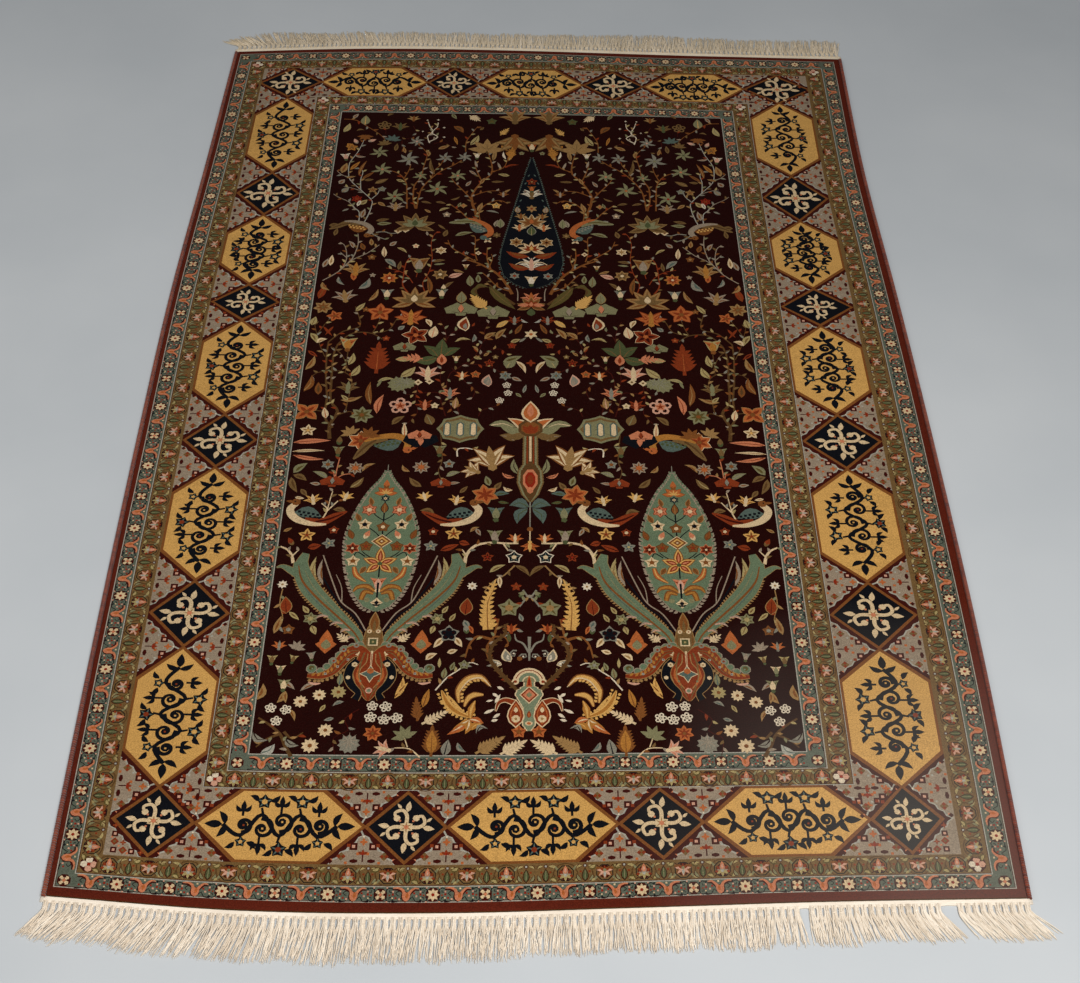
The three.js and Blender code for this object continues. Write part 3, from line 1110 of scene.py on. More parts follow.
# Boughs and stems of the left half: yarn, width at the root and at the tip, then columns and rows in turn
BOUGHS = [
    ("bark", 5, 2.4, 290, 955, 288, 930, 296, 905, 285, 885, 283, 850, 281, 800, 285, 775),
    ("bark", 2.4, 1.6, 285, 775, 297, 757, 310, 750, 330, 752, 345, 764),
    ("bark", 3.4, 2.2, 292, 935, 280, 915, 280, 880, 276, 850, 272, 800, 272, 770),
    ("bark", 2.2, 1.4, 272, 770, 290, 748, 312, 738, 308, 712, 303, 696),
    ("bark", 1.6, 1, 330, 752, 336, 735, 340, 715),
    ("bark", 1.6, 1, 330, 752, 352, 745, 362, 722, 370, 716),
    ("bark", 2, 1.2, 296, 912, 310, 905, 318, 908),
    ("bark", 1.8, 1, 306, 905, 308, 880, 310, 845, 298, 830, 282, 828, 262, 832, 254, 845),
    ("bark", 1.6, 1, 276, 780, 292, 795, 302, 822),
    ("bark", 1.5, 1, 300, 790, 300, 812, 300, 830),
    ("bark", 1.6, 1, 276, 905, 262, 903, 255, 905),
    ("bark", 1.4, 0.9, 270, 800, 262, 780, 256, 760, 250, 735),
    ("bark", 1.3, 0.9, 256, 752, 268, 725, 280, 712),
    ("bark", 1.5, 1, 432, 945, 436, 990, 432, 1010, 436, 1025),
    ("plum", 1.8, 1, 455, 918, 452, 895, 440, 870, 428, 850, 428, 815),
    ("plum", 1.8, 1, 437, 912, 430, 885, 426, 868, 408, 868, 385, 872, 375, 860),
    ("plum", 1.6, 1, 440, 830, 455, 815, 470, 800, 476, 782, 470, 770),
    ("plum", 1.5, 1, 470, 800, 490, 785, 506, 782, 515, 792),
    ("plum", 1.5, 1, 440, 830, 436, 850, 440, 880, 446, 905),
    ("plum", 1.5, 1, 455, 812, 480, 813, 500, 822, 512, 832),
    ("plum", 1.5, 1, 442, 820, 462, 848, 474, 862, 470, 880),
    ("plum", 1.5, 1, 480, 912, 485, 900, 505, 892),
    ("plum", 1.5, 1, 478, 782, 484, 765, 500, 755, 520, 750, 532, 735),
    ("plum", 1.4, 0.9, 486, 762, 484, 745, 490, 728),
    ("plum", 1.6, 1, 430, 775, 436, 755, 450, 742, 470, 735),
    ("plum", 1.4, 0.9, 432, 765, 430, 745, 422, 725),
    ("plum", 1.4, 0.9, 392, 862, 398, 852, 396, 880, 400, 905, 388, 925),
    ("rose", 1.6, 1.2, 252, 641, 272, 622, 290, 595, 310, 580, 327, 560),
    ("rose", 2, 1.2, 274, 618, 290, 592, 296, 560, 294, 535),
    ("rose", 1.6, 1, 278, 612, 282, 592, 278, 565, 270, 555),
    ("rose", 1.6, 1, 282, 590, 272, 578),
    ("pale", 1.7, 1, 293, 510, 292, 485, 285, 475, 280, 466),
    ("pale", 1.7, 1.2, 300, 512, 306, 490, 309, 470, 308, 455, 290, 430, 272, 405, 268, 385),
    ("pale", 1.5, 1, 268, 385, 268, 362, 278, 335, 283, 315, 286, 300),
    ("pale", 1.5, 1, 290, 430, 288, 405, 290, 385, 284, 375),
    ("pale", 1.4, 0.9, 308, 452, 316, 440, 318, 430),
    ("rose", 1.4, 0.9, 290, 432, 275, 425, 264, 422),
    ("rose", 1.4, 0.9, 285, 478, 275, 460, 258, 448, 250, 440),
    ("rose", 1.4, 0.9, 268, 398, 258, 392, 250, 382),
    ("grey", 2.2, 1.4, 320, 532, 332, 530, 342, 534, 354, 532),
    ("grey", 2.6, 1.4, 308, 528, 322, 541, 336, 548),
    ("brown", 5, 2.4, 521, 668, 512, 645, 500, 625, 484, 610, 470, 600, 452, 592),
    ("brown", 2.6, 1.4, 490, 615, 484, 590, 484, 565),
    ("brown", 2, 1.2, 468, 597, 448, 580, 432, 565, 426, 548),
    ("brown", 2, 1.2, 470, 595, 466, 575, 466, 545, 464, 538),
    ("brown", 1.6, 1, 488, 608, 492, 590, 490, 580),
    ("brown", 2.2, 1.4, 518, 662, 500, 652, 486, 632, 478, 622),
    ("bark", 4.4, 1.6, 525, 690, 508, 672, 494, 655, 484, 642),
    ("rust", 2.4, 1.4, 374, 665, 366, 650, 366, 625, 368, 600, 375, 585),
    ("rust", 1.6, 1, 398, 664, 394, 645, 402, 620, 405, 590, 402, 560, 404, 540, 410, 528),
    ("rust", 1.6, 1, 380, 645, 372, 630, 358, 618, 340, 612),
    ("rust", 1.4, 0.9, 384, 632, 386, 618),
    ("brown", 5, 2.2, 462, 510, 466, 490, 460, 465, 458, 440, 470, 410, 486, 385, 486, 360),
    ("brown", 2, 1.2, 486, 360, 482, 340, 478, 320),
    ("brown", 2.4, 1.2, 460, 455, 445, 430, 430, 408, 425, 395),
    ("brown", 2, 1.2, 462, 440, 480, 430, 500, 428),
    ("brown", 2, 1.2, 472, 405, 464, 380, 460, 360),
    ("brown", 2.4, 1.4, 462, 510, 452, 495, 440, 478, 425, 462),
    ("brown", 2.2, 1.2, 472, 505, 470, 480, 482, 460, 500, 452, 512, 460),
    ("brown", 1.8, 1, 488, 380, 504, 370, 510, 350, 512, 330),
    ("brown", 3, 1.6, 375, 475, 370, 450, 370, 420, 376, 405, 378, 395),
    ("brown", 2.6, 1.4, 376, 475, 378, 450, 382, 425, 395, 400, 410, 380, 428, 365, 440, 352),
    ("brown", 2.6, 1.4, 362, 475, 360, 440, 358, 415, 350, 395, 338, 384, 325, 380),
    ("brown", 1.8, 1, 354, 400, 360, 380, 362, 365),
    ("brown", 1.8, 1, 380, 400, 382, 370, 386, 340, 380, 325, 372, 315),
    ("brown", 1.6, 1, 395, 398, 400, 378, 408, 365, 410, 355),
    ("brown", 2, 1, 445, 330, 445, 305, 452, 285, 462, 262),
    ("brown", 1.6, 1, 250, 247, 270, 250, 290, 268, 308, 285, 318, 300),
    ("plum", 1.4, 0.9, 318, 285, 318, 272),
    ("plum", 1.4, 0.9, 360, 262, 366, 280, 362, 292, 345, 300),
    ("plum", 1.4, 0.9, 345, 302, 346, 320, 356, 330),
    ("plum", 1.4, 0.9, 395, 310, 405, 306, 418, 312, 424, 320),
    ("white", 1.8, 1.2, 388, 308, 384, 290, 392, 278, 386, 262, 383, 250),
    ("white", 1.8, 1.2, 387, 305, 400, 292, 390, 280, 398, 265, 399, 252),
    ("salmon", 1.6, 1.2, 303, 1026, 304, 1008, 306, 988),
    ("salmon", 1.6, 1.2, 303, 1026, 312, 1018, 322, 1016),
    ("salmon", 1.6, 1.2, 303, 1026, 300, 1012),
    ("cream", 2, 1.4, 294, 1090, 298, 1076, 290, 1066),
    ("cream", 2, 1.4, 297, 1080, 310, 1062),
    ("cream", 1.6, 1.2, 298, 1078, 300, 1060, 302, 1046),
    ("cream", 4.2, 2, 265, 1162, 262, 1150, 256, 1141, 247, 1136),
    ("cream", 2, 1.2, 262, 1152, 270, 1141),
    ("tan", 1.4, 0.9, 257, 1202, 256, 1224, 262, 1246, 258, 1262),
    ("white", 1.8, 1.2, 443, 1347, 455, 1330, 467, 1320, 480, 1309, 490, 1312),
    ("brown", 5, 2.4, 531, 1340, 514, 1322, 502, 1302, 500, 1286, 507, 1272, 512, 1246),
    ("brown", 4, 1.6, 504, 1276, 488, 1272, 479, 1284, 475, 1302),
    ("brown", 2.6, 1.4, 508, 1272, 520, 1273, 524, 1282),
    ("cream", 1.8, 1.2, 430, 1435, 418, 1424, 402, 1423),
    ("cream", 1.4, 1, 416, 1422, 412, 1410),
    ("bark", 4.6, 2.2, 291, 1434, 283, 1420, 276, 1405, 262, 1392, 250, 1384),
    ("bark", 3.6, 1.4, 276, 1405, 262, 1412, 252, 1422),
    ("bark", 3.6, 1.4, 280, 1402, 290, 1411, 301, 1403),
    ("maroon", 1.3, 0.9, 360, 1372, 345, 1385, 350, 1400, 335, 1410, 338, 1432),
    ("cream", 4.4, 2.2, 470, 1162, 472, 1148, 482, 1134, 500, 1129, 518, 1130, 534, 1130),
    ("cream", 2.4, 1.4, 516, 1131, 522, 1142),
    ("cream", 2.4, 1.2, 472, 1150, 466, 1140),
    ("tan", 2.2, 1.2, 530, 1165, 518, 1180, 505, 1190, 495, 1205),
    ("grey", 2.4, 1.6, 540, 1203, 548, 1214, 556, 1203),
    ("grey", 2.4, 1.6, 536, 1228, 548, 1213, 560, 1228),
    ("white", 2, 1.4, 455, 985, 455, 972, 466, 970, 474, 972),
]

# Single leaves of the left half by yarn and vein: from root to tip on the graph, width, bend
LEAVES = [
    ("salmon", "rust", [
        (244, 962, 292, 958, 9, 1), (246, 984, 286, 991, 7, -2), (347, 908, 354, 872, 10, 3),
    ]),
    ("cream", "tan", [(244, 978, 286, 976, 5, 1)]),
    ("sage", None, [(250, 1015, 266, 998, 11, 2), (459, 1320, 463, 1308, 6), (497, 1035, 492, 1018, 9)]),
    ("olive", None, [
        (250, 1018, 268, 1028, 9, 2), (248, 1022, 258, 1048, 9, -2), (262, 1042, 271, 1054, 7),
        (412, 1038, 396, 1022, 9, 2), (460, 1048, 470, 1036, 6), (305, 1076, 322, 1082, 8, 3),
        (430, 1082, 412, 1078, 8, -3), (530, 1165, 548, 1182, 7, 3), (503, 1042, 512, 1028, 8),
        (368, 928, 384, 912, 9, 2), (318, 505, 338, 500, 7), (250, 516, 266, 514, 9),
        (260, 540, 263, 522, 7), (410, 512, 422, 524, 4), (420, 540, 424, 524, 8),
    ]),
    ("straw", "olive", [
        (296, 1195, 292, 1152, 8, 5), (442, 1195, 444, 1152, 8, -5), (296, 1256, 302, 1269, 8),
        (438, 1256, 434, 1268, 7), (246, 736, 250, 718, 10), (303, 816, 308, 792, 9, -2),
        (308, 838, 318, 816, 10, -2), (374, 838, 393, 818, 12, -2), (304, 706, 316, 688, 8),
    ]),
    ("rose", None, [
        (304, 1196, 300, 1156, 6, 4), (434, 1196, 438, 1156, 6, -4), (270, 1336, 286, 1346, 6, 2),
        (308, 1338, 292, 1348, 6, -2), (286, 1034, 272, 1032, 6), (445, 1032, 460, 1030, 5),
    ]),
    ("straw", None, [
        (268, 1236, 281, 1248, 6), (291, 1238, 283, 1227, 7), (446, 1238, 453, 1227, 6),
        (455, 1250, 462, 1238, 6),
    ]),
    ("tan", None, [
        (254, 1268, 260, 1242, 8), (282, 1372, 290, 1388, 5, 2), (246, 1360, 250, 1338, 9, -3),
        (276, 1348, 268, 1364, 8, 2), (276, 1348, 278, 1364, 6, -1), (336, 1012, 352, 998, 6, 4),
        (396, 1012, 386, 1000, 6, 3), (475, 1112, 486, 1104, 5, 2), (248, 1112, 258, 1106, 5),
    ]),
    ("cream", None, [
        (449, 1273, 438, 1288, 8), (462, 1273, 471, 1287, 8), (430, 1305, 443, 1296, 8, 2),
        (454, 1295, 466, 1291, 7), (256, 1056, 268, 1058, 5), (512, 1182, 513, 1200, 6),
        (526, 1042, 514, 1036, 6, 3),
    ]),
    ("grey", None, [
        (472, 1248, 478, 1262, 8), (333, 1384, 322, 1387, 5), (342, 1362, 330, 1368, 5, -2),
        (470, 1416, 480, 1428, 6, -3), (540, 1250, 536, 1238, 6), (365, 744, 374, 736, 8),
    ]),
    ("orange", None, [(478, 1256, 483, 1268, 6), (296, 640, 294, 618, 9)]),
    ("straw", None, [
        (446, 1316, 446, 1302, 4), (322, 1366, 316, 1376, 5), (500, 1176, 519, 1164, 7, 2),
        (246, 752, 256, 772, 9, 2),
    ]),
    ("sage", "olive", [(451, 1331, 453, 1316, 7), (462, 652, 460, 628, 11)]),
    ("sage", "slate", [(335, 1340, 336, 1322, 7)]),
    ("grey", "wine", [(246, 1403, 264, 1413, 8, -5), (282, 1412, 298, 1420, 8, -3)]),
    ("pale", "slate", [(258, 1430, 272, 1418, 10, -3)]),
    ("gold", "brown", [(398, 1358, 406, 1328, 8, -3), (456, 1352, 482, 1382, 9, -4)]),
    ("gold", None, [(400, 1352, 412, 1336, 5)]),
    ("amber", "brown", [(430, 1370, 436, 1345, 8)]),
    ("brown", "tan", [(426, 1388, 422, 1358, 9), (248, 868, 256, 836, 10, -4), (338, 892, 335, 848, 9, 3)]),
    ("amber", "cream", [(463, 1403, 480, 1383, 10, -3)]),
    ("amber", "gold", [(478, 1382, 486, 1362, 8, -3), (482, 1400, 498, 1390, 8, 2)]),
    ("grey", "wine", [(490, 1404, 503, 1398, 7, 6)]),
    ("grey", "navy", [(456, 1433, 460, 1412, 11)]),
    ("white", None, [
        (516, 1378, 508, 1384, 4), (512, 1342, 520, 1346, 4), (507, 1351, 514, 1356, 4),
        (510, 1364, 516, 1352, 4), (498, 1378, 510, 1372, 4), (506, 1388, 514, 1386, 4),
        (500, 1362, 508, 1360, 3),
    ]),
    ("leaf", None, [(525, 1280, 524, 1266, 5)]),
    ("olive", "straw", [(323, 1040, 339, 1022, 9, -2)]),
    ("sage", "grey", [(294, 1024, 274, 1012, 8, -2), (442, 1020, 460, 1012, 8, 2)]),
    ("rose", None, [
        (482, 1106, 488, 1118, 6), (522, 838, 536, 845, 7), (296, 498, 300, 476, 8),
        (342, 562, 352, 552, 8), (290, 568, 282, 552, 7, -2),
    ]),
    ("rust", "maroon", [(440, 1142, 462, 1132, 9), (280, 1138, 296, 1134, 10), (462, 1128, 475, 1132, 9)]),
    ("sage", "wine", [(533, 1015, 527, 988, 9, 3)]),
    ("salmon", "wine", [(528, 1020, 512, 1012, 6, 3)]),
    ("slate", "leaf", [(547, 1070, 522, 1068, 16, -6), (545, 1072, 532, 1098, 14, -5)]),
    ("slate", None, [(503, 1050, 522, 1048, 8, 2)]),
    ("leaf", None, [(508, 1062, 522, 1064, 5)]),
    ("cream", None, [(256, 772, 270, 764, 8, 3)]),
    ("rust", None, [
        (262, 738, 276, 758, 4), (276, 738, 266, 756, 4), (246, 788, 260, 800, 6),
        (506, 370, 528, 362, 5, 3),
    ]),
    ("tan", None, [
        (246, 826, 256, 798, 9, -3), (298, 884, 326, 876, 7, -3), (468, 776, 476, 788, 4, 2),
        (484, 762, 500, 748, 8, 2), (500, 762, 514, 740, 9, 2), (484, 796, 492, 788, 5),
        (316, 562, 314, 546, 7),
    ]),
    ("brown", None, [
        (268, 874, 266, 850, 10), (526, 752, 536, 730, 7), (306, 572, 300, 556, 8),
        (405, 668, 400, 630, 8, -2),
    ]),
    ("cream", "orange", [(282, 918, 278, 898, 9), (386, 952, 384, 924, 7)]),
    ("straw", None, [
        (308, 884, 298, 874, 6), (444, 768, 466, 764, 5, 5), (520, 768, 534, 762, 7),
        (470, 798, 482, 802, 5), (353, 566, 368, 578, 5, 2), (410, 480, 426, 472, 5, 2),
        (292, 466, 302, 454, 9), (342, 404, 356, 410, 6), (514, 390, 496, 386, 7),
    ]),
    ("olive", "sage", [(420, 928, 412, 908, 14)]),
    ("straw", "salmon", [(365, 804, 392, 802, 10)]),
    ("cream", "salmon", [(412, 760, 416, 736, 14)]),
    ("straw", "sage", [(344, 848, 366, 842, 6, 3), (252, 282, 260, 258, 10, -2)]),
    ("sage", None, [(344, 858, 350, 842, 4)]),
    ("leaf", "olive", [
        (423, 798, 402, 776, 15, -3), (426, 796, 427, 762, 17), (430, 796, 452, 780, 14, 3),
        (422, 800, 390, 806, 17, 3),
    ]),
    ("salmon", None, [(428, 814, 427, 792, 14)]),
    ("tan", "pink", [(448, 898, 450, 876, 9)]),
    ("grey", None, [
        (468, 768, 470, 752, 6, -2), (532, 768, 542, 758, 4), (538, 868, 542, 852, 5),
        (337, 592, 354, 610, 10, 2), (304, 658, 318, 634, 11, -5), (274, 632, 284, 650, 6, -4),
        (480, 478, 500, 484, 4, 2), (276, 476, 266, 482, 4),
    ]),
    ("cream", None, [(402, 722, 410, 738, 8, 2)]),
    ("gold", "straw", [(500, 738, 518, 722, 9)]),
    ("sage", "straw", [(515, 820, 528, 800, 17, 2)]),
    ("sage", None, [
        (510, 808, 536, 796, 12), (528, 868, 536, 876, 5), (320, 512, 342, 510, 8),
        (436, 538, 462, 530, 8, 2), (408, 604, 424, 602, 4), (473, 644, 472, 626, 8),
        (438, 470, 442, 458, 5), (420, 228, 428, 242, 7), (528, 290, 536, 300, 5),
    ]),
    ("cream", None, [(528, 806, 541, 830, 7, 3), (260, 608, 261, 584, 8)]),
    ("pale", None, [(534, 720, 544, 728, 4, -2)]),
    ("sage", "cream", [(494, 928, 530, 932, 12, 5)]),
    ("olive", "rose", [(528, 956, 508, 946, 12, -3)]),
    ("grey", "rose", [(434, 500, 450, 510, 10)]),
    ("cream", "brown", [(336, 588, 334, 564, 8)]),
    ("olive", None, [
        (358, 616, 360, 596, 6), (406, 598, 424, 594, 6, 1), (426, 656, 438, 642, 6, 2),
        (294, 406, 308, 404, 6), (272, 278, 284, 276, 4, 3), (318, 236, 328, 230, 5, 2),
        (336, 330, 338, 310, 7), (400, 390, 392, 350, 6, 3), (466, 272, 472, 264, 5),
        (486, 406, 506, 405, 5), (426, 452, 440, 444, 4, -2), (382, 458, 398, 462, 5, 1),
        (404, 458, 420, 462, 5, 1),
    ]),
    ("rose", None, [
        (250, 612, 256, 592, 8), (396, 538, 394, 528, 4), (256, 415, 264, 404, 10),
        (274, 342, 292, 346, 5, -2), (264, 244, 272, 232, 7), (452, 378, 464, 390, 5),
        (464, 370, 460, 352, 4), (448, 418, 456, 404, 6), (500, 372, 495, 356, 4), (520, 300, 530, 292, 4),
    ]),
    ("rust", "brown", [(250, 680, 258, 650, 11)]),
    ("tan", None, [(252, 644, 264, 662, 7, -4), (320, 684, 332, 658, 7, -3)]),
    ("pink", "rust", [(430, 632, 450, 624, 10)]),
    ("tan", None, [
        (436, 616, 452, 622, 5), (398, 484, 388, 476, 5), (266, 400, 280, 396, 5), (318, 460, 330, 470, 7),
        (258, 388, 264, 362, 11), (352, 336, 348, 318, 5), (388, 344, 384, 326, 6, -2),
        (402, 324, 420, 314, 8), (470, 412, 476, 396, 6), (506, 432, 516, 424, 4),
    ]),
    ("moss", None, [(468, 660, 488, 654, 9, 7), (470, 652, 476, 676, 9, -6)]),
    ("moss", "olive", [(488, 652, 526, 700, 15, -2)]),
    ("tan", "brown", [(468, 480, 474, 458, 8)]),
    ("rose", "leaf", [(494, 516, 498, 500, 8)]),
    ("white", None, [(288, 470, 292, 454, 6), (508, 348, 504, 328, 4, 2)]),
    ("grey", "tan", [(262, 436, 272, 424, 10)]),
    ("olive", "tan", [(310, 414, 330, 402, 9)]),
    ("amber", None, [
        (260, 312, 274, 326, 10), (270, 380, 284, 358, 7), (426, 290, 432, 312, 5), (500, 312, 510, 326, 7),
    ]),
    ("brown", "tan", [(284, 394, 294, 356, 6, 2)]),
    ("brown", None, [(290, 402, 308, 384, 6), (424, 262, 440, 280, 11, 3)]),
    ("sage", "gold", [(284, 262, 284, 236, 15)]),
    ("straw", "wine", [(452, 312, 464, 286, 11, -2)]),
    ("tan", "olive", [(488, 352, 492, 322, 7)]),
    ("amber", "straw", [(512, 352, 520, 324, 7)]),
]

